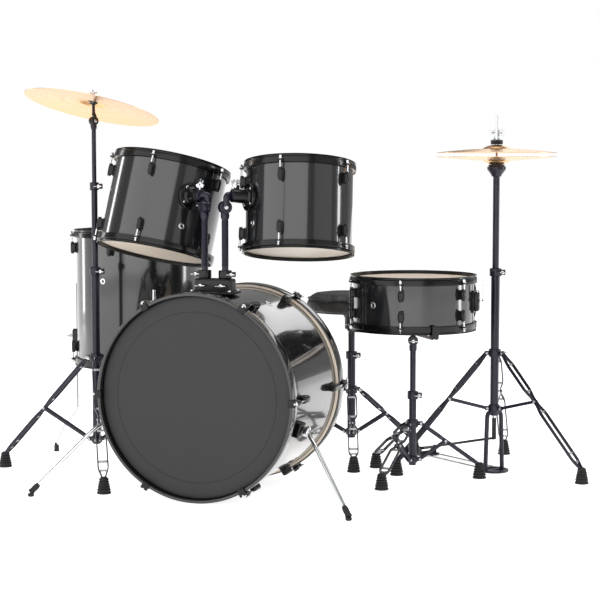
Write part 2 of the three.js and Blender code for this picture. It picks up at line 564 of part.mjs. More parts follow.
const CYMBAL_LIFT = 66;          // cymbal's bell above the tilter's axis
const SLEEVE_RADIUS = 4;
const LOWER_FELT = { radius: 13, top: 11, gap: 9, high: 9 };   // cup and felt under the cymbal
const TOP_NUT = { radius: 9, low: 12, high: 22 };
const ROD_END = 26;              // rod's end above the bell
const CYMBAL_HOLE = 7.2;
const CYMBAL_THICK = 1.6;
const BELL_DEEP = 12;
const CRASH_BELL = 44;
const cymbalHeight = (radius) => BELL_DEEP + radius * 0.06;   // from the bell's hole down to the edge
// the cymbal leans on its felts, so its own axis isn't the rod's
const onRod = (distance) => vec(0, 0, distance);
const tilterShape = join(
  bar(along(crashHinge, -GAP / 2), along(crashHinge, -CRASH_TILTER.half), CRASH_TILTER.radius, TUBE_SIDES),
  bar(along(crashHinge, -CRASH_TILTER.stem), onRod(20).addScaledVector(crashHinge, -CRASH_TILTER.stem),
    CRASH_TILTER.stemRadius, TUBE_SIDES),
  bar(onRod(16), onRod(CYMBAL_LIFT + ROD_END), SLEEVE_RADIUS, TUBE_SIDES),
  bar(onRod(CYMBAL_LIFT - LOWER_FELT.gap - LOWER_FELT.high), onRod(CYMBAL_LIFT - LOWER_FELT.gap),
    LOWER_FELT.radius, TUBE_SIDES, LOWER_FELT.top),
  bar(onRod(CYMBAL_LIFT + TOP_NUT.low), onRod(CYMBAL_LIFT + TOP_NUT.high), TOP_NUT.radius, TUBE_SIDES));
const crashTilter = body(CRASH_STAND[0], CRASH_STAND[1], CRASH_HEIGHTS.hinge,
  piece('crash_tilter', tilterShape, castBlack));
place(crashTilter, crashUpper);

// cymbal turned round Z: the bell's underside is at z = 0 at its rim hole
function cymbal(name, radius, bell, side) {
  const under = [[CYMBAL_HOLE, 0], [bell * 0.7, -4], [bell, -BELL_DEEP], [radius, -cymbalHeight(radius)]];
  const over = under.map(([r, z]) => [r, z + CYMBAL_THICK]).reverse();
  return piece(name, turned(onSide([...under, ...over, under[0]], side), CYMBAL_SIDES), brass);
}
const crash = body(...CRASH_STAND, CRASH_HEIGHTS.hinge, cymbal('crash_cymbal', CRASH_RADIUS, CRASH_BELL, 1));
crash.position.add(onRod(CYMBAL_LIFT - 4));
crash.quaternion.setFromUnitVectors(vec(0, 0, 1), crashNormal);
place(crash, crashTilter);

// ---------------------------------------------------------------- snare on its stand
const SNARE_TUBE = { base: 11, upper: 8.8 };
const SNARE_TOP = 262;
const BASKET_PIVOT = SNARE_BOTTOM - 46;
const BASKET_TILTER = 15;        // radius of the basket's tilter
const BASKET = { hub: 20, drop: 10, rod: 4.5, hook: 26, pad: [24, 18, 10], stem: 7 };
kit.add(body(SNARE_AT[0], SNARE_AT[1], 0, piece('snare_stand_base', tripod({
  tube: SNARE_TUBE.base, bore: SNARE_TUBE.upper + SLIDE, bottom: 40, top: SNARE_TOP,
  collar: 165, brace: 58, foot: 200, angles: [19.5, 139.5, 259.5], share: 0.42, floor: 52,
}), blackCoat)));

const basketHinge = polar(1, -70.5, 0);
const basketLocal = BASKET_PIVOT - SNARE_TOP;
const snareUpperShape = cut(join(
  bar(vec(0, 0, -110), vec(0, 0, basketLocal - 12), SNARE_TUBE.upper, TUBE_SIDES),
  bar(along(basketHinge, GAP / 2, basketLocal), along(basketHinge, 11, basketLocal), BASKET_TILTER, TUBE_SIDES),
  bar(vec(0, 0, basketLocal - 26), along(basketHinge, 3, basketLocal - 10), SNARE_TUBE.upper + 3, TUBE_SIDES)),
bar(along(basketHinge, -GAP / 2, basketLocal), along(basketHinge, -34, basketLocal), BASKET_TILTER + 2, 16));
const snareUpper = body(SNARE_AT[0], SNARE_AT[1], SNARE_TOP,
  piece('snare_stand_upper_tube', snareUpperShape, blackCoat));
kit.attach(snareUpper);

const hoopUnder = SNARE_BOTTOM - HOOP.proud - BASKET_PIVOT;   // lower hoop's rim from the basket's pivot
const snareArmAngles = [-55.5, 64.5, 184.5];
const HOOK = SNARE_RADIUS + HOOP.outer + 8;
const basketShape = join(
  bar(along(basketHinge, -GAP / 2), along(basketHinge, -12), BASKET_TILTER, TUBE_SIDES),
  bar(along(basketHinge, -BASKET.stem), along(basketHinge, -BASKET.stem, hoopUnder - 11), BASKET.stem, TUBE_SIDES),
  disc(BASKET.hub, hoopUnder - 15, hoopUnder - 6, TUBE_SIDES),
  snareArmAngles.flatMap((angle) => [
    rod([polar(10, angle, hoopUnder - BASKET.drop), polar(HOOK, angle, hoopUnder - BASKET.drop),
      polar(HOOK, angle, hoopUnder + BASKET.hook)], BASKET.rod, ROD_SIDES),
    block(SNARE_RADIUS + HOOP.outer - 18, angle, hoopUnder - 5.5, BASKET.pad),
  ]));
const basket = place(body(SNARE_AT[0], SNARE_AT[1], BASKET_PIVOT,
  piece('snare_basket', basketShape, blackCoat)), snareUpper);

const STRAINER_ANGLE = 4.5;
const STRAINER = { deep: 22, wide: 30, high: 60, rise: 4 };
const BUTT = { deep: 18, high: 34, drop: 12 };   // wires' far end, across the drum
const LEVER = { pin: 5, pinHalf: 14, plate: [6, 16, 46], rise: 22 };
const snareCentre = SNARE_BOTTOM + SNARE_DEPTH / 2;
const snareDrum = body(SNARE_AT[0], SNARE_AT[1], snareCentre, ...drum('snare', {
  radius: SNARE_RADIUS, depth: SNARE_DEPTH, lugAngles: spaced(SNARE_LUG_COUNT, -85.5), lugInset: 40,
  extras: [
    block(SNARE_RADIUS - 5, STRAINER_ANGLE, STRAINER.rise, [STRAINER.deep + 2, STRAINER.wide, STRAINER.high]),
    block(SNARE_RADIUS - 5, STRAINER_ANGLE + 180, -BUTT.drop, [BUTT.deep, STRAINER.wide, BUTT.high])],
}));
const WIRES = { short: 46, wide: 42, thick: 3 };
const wireTop = -SNARE_DEPTH / 2 - GAP - HEAD_FILM - GAP;
const wireBand = new THREE.BoxGeometry(2 * SNARE_RADIUS - WIRES.short, WIRES.wide, WIRES.thick);
wireBand.translate(0, 0, wireTop - WIRES.thick / 2).rotateZ(STRAINER_ANGLE * RAD);
snareDrum.add(piece('snare_wires', solid(wireBand), chrome));
place(snareDrum, basket);

const leverPivot = polar(SNARE_RADIUS + STRAINER.deep - 3 + GAP + 5, STRAINER_ANGLE, 26);
const leverShape = join(
  bar(polar(LEVER.pinHalf, STRAINER_ANGLE + 90, 0), polar(LEVER.pinHalf, STRAINER_ANGLE - 90, 0), LEVER.pin, 8),
  solid(new THREE.BoxGeometry(...LEVER.plate).translate(1, 0, LEVER.rise).rotateZ(STRAINER_ANGLE * RAD)));
const lever = body(SNARE_AT[0] + leverPivot.x, SNARE_AT[1] + leverPivot.y, snareCentre + leverPivot.z - 20,
  piece('snare_throw_off_lever', leverShape, chrome));
place(lever, snareDrum);

// ---------------------------------------------------------------- hi-hat
const HIHAT_TUBE = { base: 12.9, upper: 9.8, rodBore: 5 };
const HIHAT_CLAMP = 620;
const HIHAT_CUP = 932;
const CUP = { radius: 28, neck: 15, high: 36, rim: 13 };   // seat of the lower cymbal
const PULL_ROD_RADIUS = 3;
const PEDAL_YAW = 143;           // from the hi-hat's tube towards its heel plate
const FRAME_HALF = 28;           // uprights either side of the tube's axis
const hihatHeel = 330;           // heel plate from the tube's axis
const toeHeight = 112;
const heelHeight = 26;           // hinge of a footboard above the floor
const BOARD_THICK = 7;
const BASE_PLATE = { radius: 46, thick: 8 };
const HEEL_PLATE = { deep: 56, wide: 66, thick: 10 };
const RADIUS_ROD = { apart: 24, radius: 3 };
const EARS = { apart: 30, size: [12, 6, 26], high: 16 };

// the two round bars that carry the hi-hat's column from its base plate
function uprights(top, yaw) {
  return [-1, 1].map((side) => {
    const out = polar(FRAME_HALF * side, yaw + 90, 0);
    return rod([polar(8 * side, yaw + 90, top), out.clone().setZ(top - 14), out.clone().setZ(4)], 5, ROD_SIDES);
  });
}

// box at a place given along and across a direction
function brickAt(along, across, z, [a, b, c], yaw) {
  return solid(new THREE.BoxGeometry(a, b, c).translate(along, across, z).rotateZ(yaw * RAD));
}

const hihatBase = cut(join(
  tripod({
    tube: HIHAT_TUBE.base, bore: HIHAT_TUBE.upper + SLIDE, bottom: 172, top: HIHAT_CLAMP,
    collar: 363, brace: 195, foot: 305, angles: [-20, 96.5, 211], share: 0.42, floor: 190,
  }),
  uprights(184, PEDAL_YAW),
  disc(BASE_PLATE.radius, 0, BASE_PLATE.thick, 16),
  [-1, 1].map((side) => rod([
    polar(30, PEDAL_YAW, 5).add(polar(side * RADIUS_ROD.apart, PEDAL_YAW + 90, 0)),
    polar(hihatHeel - 8, PEDAL_YAW, 6).add(polar(side * RADIUS_ROD.apart, PEDAL_YAW + 90, 0))],
  RADIUS_ROD.radius, 6)),
  block(hihatHeel - 26, PEDAL_YAW, HEEL_PLATE.thick / 2, [HEEL_PLATE.deep, HEEL_PLATE.wide, HEEL_PLATE.thick]),
  [-1, 1].map((side) => brickAt(hihatHeel - 4, side * EARS.apart, EARS.high, EARS.size, PEDAL_YAW)),
), bar(vec(0, 0, 150), vec(0, 0, 220), PULL_ROD_RADIUS + SLIDE + 0.6, TUBE_SIDES));
kit.add(body(HIHAT_AT[0], HIHAT_AT[1], 0, piece('hihat_stand_base', hihatBase, blackCoat)));

const cupLocal = HIHAT_CUP - HIHAT_CLAMP;
const hihatUpperShape = cut(join(
  disc(HIHAT_TUBE.upper, -150, cupLocal - 6, TUBE_SIDES),
  turned([[0, cupLocal - CUP.high], [CUP.neck, cupLocal - CUP.high], [CUP.radius, cupLocal - CUP.rim],
    [CUP.radius, cupLocal], [0, cupLocal]], 16)),
bar(vec(0, 0, -151), vec(0, 0, cupLocal + 1), HIHAT_TUBE.rodBore, TUBE_SIDES));
const hihatUpper = body(HIHAT_AT[0], HIHAT_AT[1], HIHAT_CLAMP,
  piece('hihat_stand_upper_tube', hihatUpperShape, blackCoat));
kit.attach(hihatUpper);

const HIHAT_BELL = 42;
const bottomRim = HIHAT_CUP + GAP + CYMBAL_THICK;
const bottomCymbal = body(HIHAT_AT[0], HIHAT_AT[1], bottomRim,
  cymbal('hihat_bottom_cymbal', HIHAT_RADIUS, HIHAT_BELL, -1));
place(bottomCymbal, hihatUpper);
const topRim = bottomRim + 2 * cymbalHeight(HIHAT_RADIUS) + HIHAT_GAP;

const ROD_TOP = 1080;
const CLUTCH = { radius: 12, felt: 18, barrel: 6.2, top: 48, wing: 40 };   // heights from the top cymbal's hole
const rodLow = toeHeight + 12;
const pullRodShape = join(
  bar(vec(0, 0, rodLow), vec(0, 0, ROD_TOP), PULL_ROD_RADIUS, TUBE_SIDES),
  disc(6.5, rodLow, rodLow + 46, TUBE_SIDES));
const pullRod = body(HIHAT_AT[0], HIHAT_AT[1], 0, piece('hihat_pull_rod', pullRodShape, chrome));
kit.attach(pullRod);

// the clutch holds the top cymbal on the rod between two felts
const clutchShape = cut(join(
  disc(CLUTCH.radius, -12, -3, TUBE_SIDES), disc(CLUTCH.barrel, -4, CLUTCH.top, TUBE_SIDES),
  disc(CLUTCH.felt, 4, 16, TUBE_SIDES), brick(0, 0, CLUTCH.wing, [34, 9, 12])),
bar(vec(0, 0, -13), vec(0, 0, CLUTCH.top + 1), PULL_ROD_RADIUS + SLIDE, TUBE_SIDES));
const clutch = body(HIHAT_AT[0], HIHAT_AT[1], topRim,
  piece('hihat_clutch', clutchShape, chrome), cymbal('hihat_top_cymbal', HIHAT_RADIUS, HIHAT_BELL, 1));
place(clutch, pullRod);

// a tapered board hinged at its heel, toe towards -X of its own frame
function footboard(name, length, heelWidth, toeWidth, rise) {
  const outline = new THREE.Shape([
    new THREE.Vector2(0, -heelWidth / 2), new THREE.Vector2(0, heelWidth / 2),
    new THREE.Vector2(-length * 0.7, heelWidth / 2), new THREE.Vector2(-length * 0.86, toeWidth / 2),
    new THREE.Vector2(-length, toeWidth / 2), new THREE.Vector2(-length, -toeWidth / 2),
    new THREE.Vector2(-length * 0.86, -toeWidth / 2), new THREE.Vector2(-length * 0.7, -heelWidth / 2),
  ]);
  const board = new THREE.ExtrudeGeometry(outline, { depth: BOARD_THICK, bevelEnabled: false });
  board.translate(0, 0, -BOARD_THICK / 2).rotateY(Math.atan2(rise, length));
  const pin = bar(vec(0, -24, 0), vec(0, 24, 0), 5, 8);
  return piece(name, join(solid(board), pin), castBlack);
}
const hihatBoard = body(HIHAT_AT[0], HIHAT_AT[1], 0,
  footboard('hihat_footboard', hihatHeel - 14, 54, 38, toeHeight - heelHeight - 12));
hihatBoard.position.add(polar(hihatHeel - 4, PEDAL_YAW, heelHeight));
hihatBoard.rotation.z = PEDAL_YAW * RAD;
kit.attach(hihatBoard);

// ---------------------------------------------------------------- throne
const THRONE_TUBE = { base: 13, post: 10.5 };
const THRONE_CLAMP = 342;
const SEAT_UNDER = 468;
const SPIN = 1.4;                // clearance of a socket that turns on a faceted post
kit.add(body(THRONE_AT[0], THRONE_AT[1], 0, piece('throne_base', tripod({
  tube: THRONE_TUBE.base, bore: THRONE_TUBE.post + SLIDE, bottom: 66, top: THRONE_CLAMP,
  collar: 220, brace: 85, foot: 240, angles: [-70.5, 49.5, 169.5], share: 0.48, floor: 76,
}), blackCoat)));
const SOCKET = { radius: 22, deep: 56, blind: 20, plate: 60, thick: 8 };   // under the seat board
const postTop = SEAT_UNDER - THRONE_CLAMP - SOCKET.blind - 2;
const thronePost = body(THRONE_AT[0], THRONE_AT[1], THRONE_CLAMP,
  piece('throne_post', disc(THRONE_TUBE.post, -150, postTop, TUBE_SIDES), blackCoat));
kit.attach(thronePost);
const seatShape = cut(join(
  turned([[0, 0], [SEAT_RADIUS - 8, 0], [SEAT_RADIUS, 12], [SEAT_RADIUS, SEAT_THICKNESS - 16],
    [SEAT_RADIUS - 14, SEAT_THICKNESS - 2], [0, SEAT_THICKNESS]], CYMBAL_SIDES),
  disc(SOCKET.radius, -SOCKET.deep, 2, TUBE_SIDES), disc(SOCKET.plate, -SOCKET.thick, 2, 16)),
bar(vec(0, 0, -SOCKET.deep - 4), vec(0, 0, -SOCKET.blind), THRONE_TUBE.post + SPIN, TUBE_SIDES));
const seat = body(THRONE_AT[0], THRONE_AT[1], SEAT_UNDER, piece('throne_seat', seatShape, vinyl));
place(seat, thronePost);

// ---------------------------------------------------------------- bass drum pedal
const PEDAL = { half: 42, axle: 178, heel: 300, board: 262, beater: 180 };
const AXLE = { radius: 5, half: 50, fit: 0.3, hub: [30, 22, 22] };
const BEATER = { radius: 21, from: 12, to: 58, rod: 4, lean: 40 };
const FOOT_ROD = { apart: 27, radius: 3.5, high: 5 };
const pedalFrame = join(
  [-1, 1].flatMap((side) => [
    brick(side * PEDAL.half, 0, PEDAL.axle / 2 + 4, [10, 26, PEDAL.axle + 8]),
    rod([vec(side * FOOT_ROD.apart, 6, FOOT_ROD.high), vec(side * FOOT_ROD.apart, PEDAL.heel - 14, FOOT_ROD.high)],
      FOOT_ROD.radius, 6)]),
  brick(0, 2, 6, [2 * PEDAL.half + 10, 34, 12]),
  brick(0, PEDAL.heel, 5, [84, 56, 10]),
  [-1, 1].map((side) => brick(side * 37, PEDAL.heel - 6, 14, [6, 12, 26])));
const axleHoles = bar(vec(-THROUGH, 0, PEDAL.axle), vec(THROUGH, 0, PEDAL.axle), AXLE.radius + SLIDE + AXLE.fit, 12);
kit.add(body(...PEDAL_AT, 0, piece('pedal_frame', cut(pedalFrame, axleHoles), castBlack)));
const beaterShape = join(
  bar(vec(-AXLE.half, 0, 0), vec(AXLE.half, 0, 0), AXLE.radius, TUBE_SIDES),
  brick(0, 0, 0, AXLE.hub),
  bar(vec(0, 0, 6), vec(0, BEATER.lean, PEDAL.beater), BEATER.rod, 8),
  bar(vec(0, BEATER.from, PEDAL.beater + 6), vec(0, BEATER.to, PEDAL.beater - 8), BEATER.radius, TUBE_SIDES));
const beater = body(...PEDAL_AT, PEDAL.axle, piece('pedal_beater', beaterShape, chrome));
kit.attach(beater);
const pedalBoard = body(PEDAL_AT[0], PEDAL_AT[1] + PEDAL.heel - 6, heelHeight,
  footboard('pedal_footboard', PEDAL.board, 62, 50, 96));
pedalBoard.rotation.z = 90 * RAD;
kit.attach(pedalBoard);

// the origin is at the middle of the whole kit's footprint, on the floor
const drumKit = new THREE.Group();
drumKit.add(kit);
kit.updateWorldMatrix(true, true);
const extent = new THREE.Box3().setFromObject(kit, true);
kit.position.set(-(extent.min.x + extent.max.x) / 2, -(extent.min.y + extent.max.y) / 2, -extent.min.z);

export default drumKit;
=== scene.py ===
import json
from math import cos, pi, radians, sin, tau

import bmesh
import bpy
from mathutils import Matrix, Vector


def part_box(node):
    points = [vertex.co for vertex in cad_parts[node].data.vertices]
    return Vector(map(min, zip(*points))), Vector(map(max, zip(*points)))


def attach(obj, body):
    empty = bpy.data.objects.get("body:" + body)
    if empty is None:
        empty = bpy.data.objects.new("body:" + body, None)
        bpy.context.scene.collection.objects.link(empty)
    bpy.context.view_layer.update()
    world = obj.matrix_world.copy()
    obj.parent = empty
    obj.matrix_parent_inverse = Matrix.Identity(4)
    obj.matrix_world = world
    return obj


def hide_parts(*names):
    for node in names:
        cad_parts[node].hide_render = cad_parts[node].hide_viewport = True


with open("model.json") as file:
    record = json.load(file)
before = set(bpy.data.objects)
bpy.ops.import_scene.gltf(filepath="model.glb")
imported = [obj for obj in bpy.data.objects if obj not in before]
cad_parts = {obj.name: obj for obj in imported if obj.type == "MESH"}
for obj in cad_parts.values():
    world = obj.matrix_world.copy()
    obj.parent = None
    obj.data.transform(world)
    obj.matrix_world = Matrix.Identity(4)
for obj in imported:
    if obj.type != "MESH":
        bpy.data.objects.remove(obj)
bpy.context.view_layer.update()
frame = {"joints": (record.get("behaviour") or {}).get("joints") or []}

joints = {joint["name"]: joint for joint in frame["joints"]}

CAMERA_AT = Vector((1.664, -4.588, 0.93))
CAMERA_AZIMUTH = radians(19.5)
CAMERA_DIP = radians(4.72)
lens = bpy.data.cameras.new("camera")
lens.sensor_width = 36
lens.lens = 98.04
camera = bpy.data.objects.new("camera", lens)
camera.location = CAMERA_AT
camera.rotation_euler = (pi / 2 - CAMERA_DIP, 0, CAMERA_AZIMUTH)
bpy.context.scene.collection.objects.link(camera)
bpy.context.scene.camera = camera

# ---------------------------------------------------------------- studio
# A seamless pale floor under a white sky, with tall softboxes at the sides and one overhead.


def linear(code):
    """An sRGB hex colour as linear RGBA."""
    parts = [int(code[i:i + 2], 16) / 255 for i in (0, 2, 4)]
    return [p / 12.92 if p <= 0.04045 else ((p + 0.055) / 1.055) ** 2.4 for p in parts] + [1.0]


def add(tree, kind, settings=None, links=None):
    """A node with its settings, and its inputs set to a value or linked from a socket."""
    made = tree.nodes.new(kind)
    for key, value in (settings or {}).items():
        setattr(made, key, value)
    for key, value in (links or {}).items():
        if isinstance(value, bpy.types.NodeSocket):
            tree.links.new(value, made.inputs[key])
        else:
            made.inputs[key].default_value = value
    return made


def new_finish(name, colour, roughness, **sockets):
    """A material with one Principled shader; returns the material, its tree and the shader."""
    made = bpy.data.materials.new(name)
    made.use_nodes = True
    shader = made.node_tree.nodes["Principled BSDF"]
    shader.inputs["Base Color"].default_value = linear(colour)
    shader.inputs["Roughness"].default_value = roughness
    for key, value in sockets.items():
        shader.inputs[key.replace("_", " ")].default_value = value
    return made, made.node_tree, shader


def add_bump(tree, shader, height, strength, distance):
    bump = add(tree, "ShaderNodeBump", None,
               {"Height": height, "Strength": strength, "Distance": distance})
    tree.links.new(bump.outputs["Normal"], shader.inputs["Normal"])


FLOOR_HALF = 30
sky = bpy.data.worlds.new("studio")
sky.use_nodes = True
seen = add(sky.node_tree, "ShaderNodeLightPath").outputs["Is Camera Ray"]
glow = add(sky.node_tree, "ShaderNodeMapRange", None, {"Value": seen, "To Min": 0.25, "To Max": 1.0})
sky.node_tree.nodes["Background"].inputs["Color"].default_value = linear("ffffff")
sky.node_tree.links.new(glow.outputs[0], sky.node_tree.nodes["Background"].inputs["Strength"])
bpy.context.scene.world = sky
bpy.context.scene.view_settings.view_transform = "Standard"
floor_mesh = bpy.data.meshes.new("floor")
floor_mesh.from_pydata([(-FLOOR_HALF, -FLOOR_HALF, 0), (FLOOR_HALF, -FLOOR_HALF, 0),
                        (FLOOR_HALF, FLOOR_HALF, 0), (-FLOOR_HALF, FLOOR_HALF, 0)], [], [(0, 1, 2, 3)])
floor = bpy.data.objects.new("floor", floor_mesh)
bpy.context.scene.collection.objects.link(floor)
paper = new_finish("matt_white_paper", "f4f4f4", 0.9)[0]
# the paper glows a little, so its far end is as white as the backdrop
paper.node_tree.nodes["Principled BSDF"].inputs["Emission Color"].default_value = linear("ffffff")
paper.node_tree.nodes["Principled BSDF"].inputs["Emission Strength"].default_value = 0.8
floor_mesh.materials.append(paper)
# azimuth, distance and height of each panel's middle, its width and height, and its brightness
PANELS = (
    ("front_left_panel", -128, 6.2, 2.6, (5.6, 5.2), 1.6),
    ("front_panel", -77, 6.2, 2.6, (5.6, 5.2), 1.6),
    ("right_panel", -17, 6.2, 2.4, (4.6, 4.8), 0.45),
    ("right_strip", 22, 4.6, 1.9, (0.6, 3.8), 8.0),
    ("left_strip", 172, 4.6, 1.9, (0.6, 3.8), 6.0),
    ("top_panel", 90, 0.4, 3.9, (3.4, 2.4), 2.2),
    ("back_panel", 78, 4.4, 2.6, (3.2, 1.6), 1.6),
)
for name, azimuth, distance, height, (wide, high), brightness in PANELS:
    light = bpy.data.lights.new(name, "AREA")
    light.shape = "RECTANGLE"
    light.size = wide
    light.size_y = high
    light.energy = brightness * pi * wide * high
    lamp = bpy.data.objects.new(name, light)
    lamp.location = (distance * cos(radians(azimuth)), distance * sin(radians(azimuth)), height)
    lamp.rotation_euler = (Vector((0, 0, 0.6)) - lamp.location).to_track_quat("-Z", "Y").to_euler()
    bpy.context.scene.collection.objects.link(lamp)

# ---------------------------------------------------------------- bass drum shell
# Bent plywood shell under a black plastic wrap, with six cast lugs at each edge and a bracket for each
# spur. The lugs are bolted through the shell; the shell's centre lies on the line between the heads.


def centre(node):
    low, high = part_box(node)
    return (low + high) / 2


def spin(bm, outline, place=Matrix(), steps=96, closed=False):
    """Turns an outline of (radius, height) points round Z."""
    columns = []
    for k in range(steps):
        turn = tau * k / steps
        column = []
        for i, (r, z) in enumerate(outline):
            shared = r == 0 and k > 0
            spot = place @ Vector((r * cos(turn), r * sin(turn), z))
            column.append(columns[0][i] if shared else bm.verts.new(spot))
        columns.append(column)
    count = len(outline)
    for k in range(steps):
        a, b = columns[k], columns[(k + 1) % steps]
        for i in range(count if closed else count - 1):
            j = (i + 1) % count
            corners = list(dict.fromkeys((a[i], b[i], b[j], a[j])))
            if len(corners) > 2:
                bm.faces.new(corners)


def arc(cx, cz, radius, start, end, steps=5):
    """Points of an arc in an outline, angles in degrees."""
    turns = [radians(start + (end - start) * i / steps) for i in range(steps + 1)]
    return [(cx + radius * cos(t), cz + radius * sin(t)) for t in turns]


def pill(radius, low, high, edge, steps=3):
    """Outline of a round bar with softened ends."""
    return [(0, low), *arc(radius - edge, low + edge, edge, -90, 0, steps),
            *arc(radius - edge, high - edge, edge, 0, 90, steps), (0, high)]


def brick(bm, size, place=Matrix(), edge=0.001, segments=2):
    """A block with softened edges, its centre at the place."""
    scale = Matrix.Diagonal((*size, 1))
    made = bmesh.ops.create_cube(bm, size=1, matrix=place @ scale)
    edges = list({e for v in made["verts"] for e in v.link_edges})
    bmesh.ops.bevel(bm, geom=edges, offset=edge, segments=segments, affect="EDGES", profile=0.6)


def at(x, y, z, turn=0):
    """A place in a piece's own frame, turned about Z by some degrees."""
    return Matrix.Translation((x, y, z)) @ Matrix.Rotation(radians(turn), 4, "Z")


def out(radius, degrees, z=0.0):
    """A place at a radius and an azimuth, with X pointing outwards."""
    return Matrix.Rotation(radians(degrees), 4, "Z") @ Matrix.Translation((radius, 0, z))


def across(base):
    """A place turned so that its Z lies along the old X."""
    return base @ Matrix.Rotation(pi / 2, 4, "Y")


def repeated_fitting_tree():
    """Copies one fitting Count times, each Turn further round Z and one Step further along."""
    tree = bpy.data.node_groups.new("repeated_fitting", "GeometryNodeTree")
    tree.is_modifier = True
    tree.interface.new_socket("Fitting", in_out="INPUT", socket_type="NodeSocketGeometry")
    for name, kind in (("Count", "Int"), ("Start", "Float"), ("Turn", "Float"), ("Step", "Vector"),
                       ("Finish", "Material")):
        tree.interface.new_socket(name, in_out="INPUT", socket_type="NodeSocket" + kind)
    tree.interface.new_socket("Geometry", in_out="OUTPUT", socket_type="NodeSocketGeometry")
    given = add(tree, "NodeGroupInput").outputs
    index = add(tree, "GeometryNodeInputIndex").outputs[0]
    shift = add(tree, "ShaderNodeVectorMath", {"operation": "SCALE"}, {0: given["Step"], "Scale": index})
    turn = add(tree, "ShaderNodeMath", {"operation": "MULTIPLY_ADD"},
               {0: index, 1: given["Turn"], 2: given["Start"]})
    angles = add(tree, "ShaderNodeCombineXYZ", None, {"Z": turn.outputs[0]})
    rotation = add(tree, "FunctionNodeEulerToRotation", None, {0: angles.outputs[0]})
    points = add(tree, "GeometryNodePoints", None,
                 {"Count": given["Count"], "Position": shift.outputs[0]})
    copies = add(tree, "GeometryNodeInstanceOnPoints", None,
                 {"Points": points.outputs[0], "Instance": given["Fitting"],
                  "Rotation": rotation.outputs[0]})
    real = add(tree, "GeometryNodeRealizeInstances", None, {0: copies.outputs[0]})
    painted = add(tree, "GeometryNodeSetMaterial", None,
                  {"Geometry": real.outputs[0], "Material": given["Finish"]})
    add(tree, "NodeGroupOutput", None, {0: painted.outputs[0]})
    return tree


REPEATED_FITTING = repeated_fitting_tree()


def repeated(fitting, finish, place=Matrix(), count=6, start=0.0, turn=None, step=(0, 0, 0)):
    """The fitting's bmesh repeated by the tree, as a new bmesh; a full circle unless turn is given."""
    mesh = bpy.data.meshes.new("fitting")
    fitting.to_mesh(mesh)
    fitting.free()
    holder = bpy.data.objects.new("fitting", mesh)
    bpy.context.scene.collection.objects.link(holder)
    modifier = holder.modifiers.new("copies", "NODES")
    modifier.node_group = REPEATED_FITTING
    sockets = {item.name: item.identifier for item in REPEATED_FITTING.interface.items_tree
               if item.in_out == "INPUT"}
    modifier[sockets["Count"]] = count
    modifier[sockets["Start"]] = radians(start)
    modifier[sockets["Turn"]] = radians(360 / count if turn is None else turn)
    modifier[sockets["Step"]] = step
    modifier[sockets["Finish"]] = finish
    made = bpy.data.meshes.new_from_object(holder.evaluated_get(bpy.context.evaluated_depsgraph_get()))
    made.transform(place)
    grown = bmesh.new()
    grown.from_mesh(made)
    bpy.data.objects.remove(holder)
    bpy.data.meshes.remove(made)
    return grown


def merge(bm, other):
    """Adds another bmesh's faces and frees it."""
    mesh = bpy.data.meshes.new("part")
    other.to_mesh(mesh)
    other.free()
    bm.from_mesh(mesh)
    bpy.data.meshes.remove(mesh)


def made_piece(name, bm, finish, body, nodes=(), sharp=35, place=Matrix()):
    """Turns a bmesh into a finished piece that rides on a body and may stand for CAD nodes."""
    bmesh.ops.remove_doubles(bm, verts=bm.verts, dist=1e-6)
    bmesh.ops.recalc_face_normals(bm, faces=bm.faces)
    mesh = bpy.data.meshes.new(name)
    bm.to_mesh(mesh)
    bm.free()
    mesh.transform(place)
    mesh.shade_smooth()
    mesh.set_sharp_from_angle(angle=radians(sharp))
    mesh.materials.clear()
    mesh.materials.append(finish)
    piece = bpy.data.objects.new(name, mesh)
    bpy.context.scene.collection.objects.link(piece)
    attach(piece, body)
    if nodes:
        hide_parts(*nodes)
    return piece


def drum_wrap():
    """Glossy calendered PVC sheet glued round the shell: nearly black, with a faint orange peel."""
    made, tree, shader = new_finish("black_pvc_drum_wrap", "17181a", 0.16, Coat_Weight=1.0)
    shader.inputs["Coat Roughness"].default_value = 0.05
    space = add(tree, "ShaderNodeTexCoord").outputs["Object"]
    cloud = add(tree, "ShaderNodeTexNoise", None, {"Vector": space, "Scale": 9.0, "Detail": 3.0})
    haze = add(tree, "ShaderNodeMapRange", None,
               {"Value": cloud.outputs[0], "To Min": 0.13, "To Max": 0.23})
    tree.links.new(haze.outputs[0], shader.inputs["Roughness"])
    peel = add(tree, "ShaderNodeTexNoise", None, {"Vector": space, "Scale": 260.0, "Detail": 2.0})
    add_bump(tree, shader, peel.outputs[0], 0.04, 0.0004)
    return made


def gloss_black_paint():
    """Gloss black enamel on cast or rolled steel, with the small ripples that dipping leaves."""
    made, tree, shader = new_finish("gloss_black_enamel", "070708", 0.24, Coat_Weight=0.15)
    shader.inputs["Specular IOR Level"].default_value = 0.3
    space = add(tree, "ShaderNodeTexCoord").outputs["Object"]
    ripple = add(tree, "ShaderNodeTexNoise", None, {"Vector": space, "Scale": 420.0, "Detail": 2.0})
    haze = add(tree, "ShaderNodeMapRange", None,
               {"Value": ripple.outputs[0], "To Min": 0.15, "To Max": 0.28})
    tree.links.new(haze.outputs[0], shader.inputs["Roughness"])
    add_bump(tree, shader, ripple.outputs[0], 0.06, 0.0004)
    return made


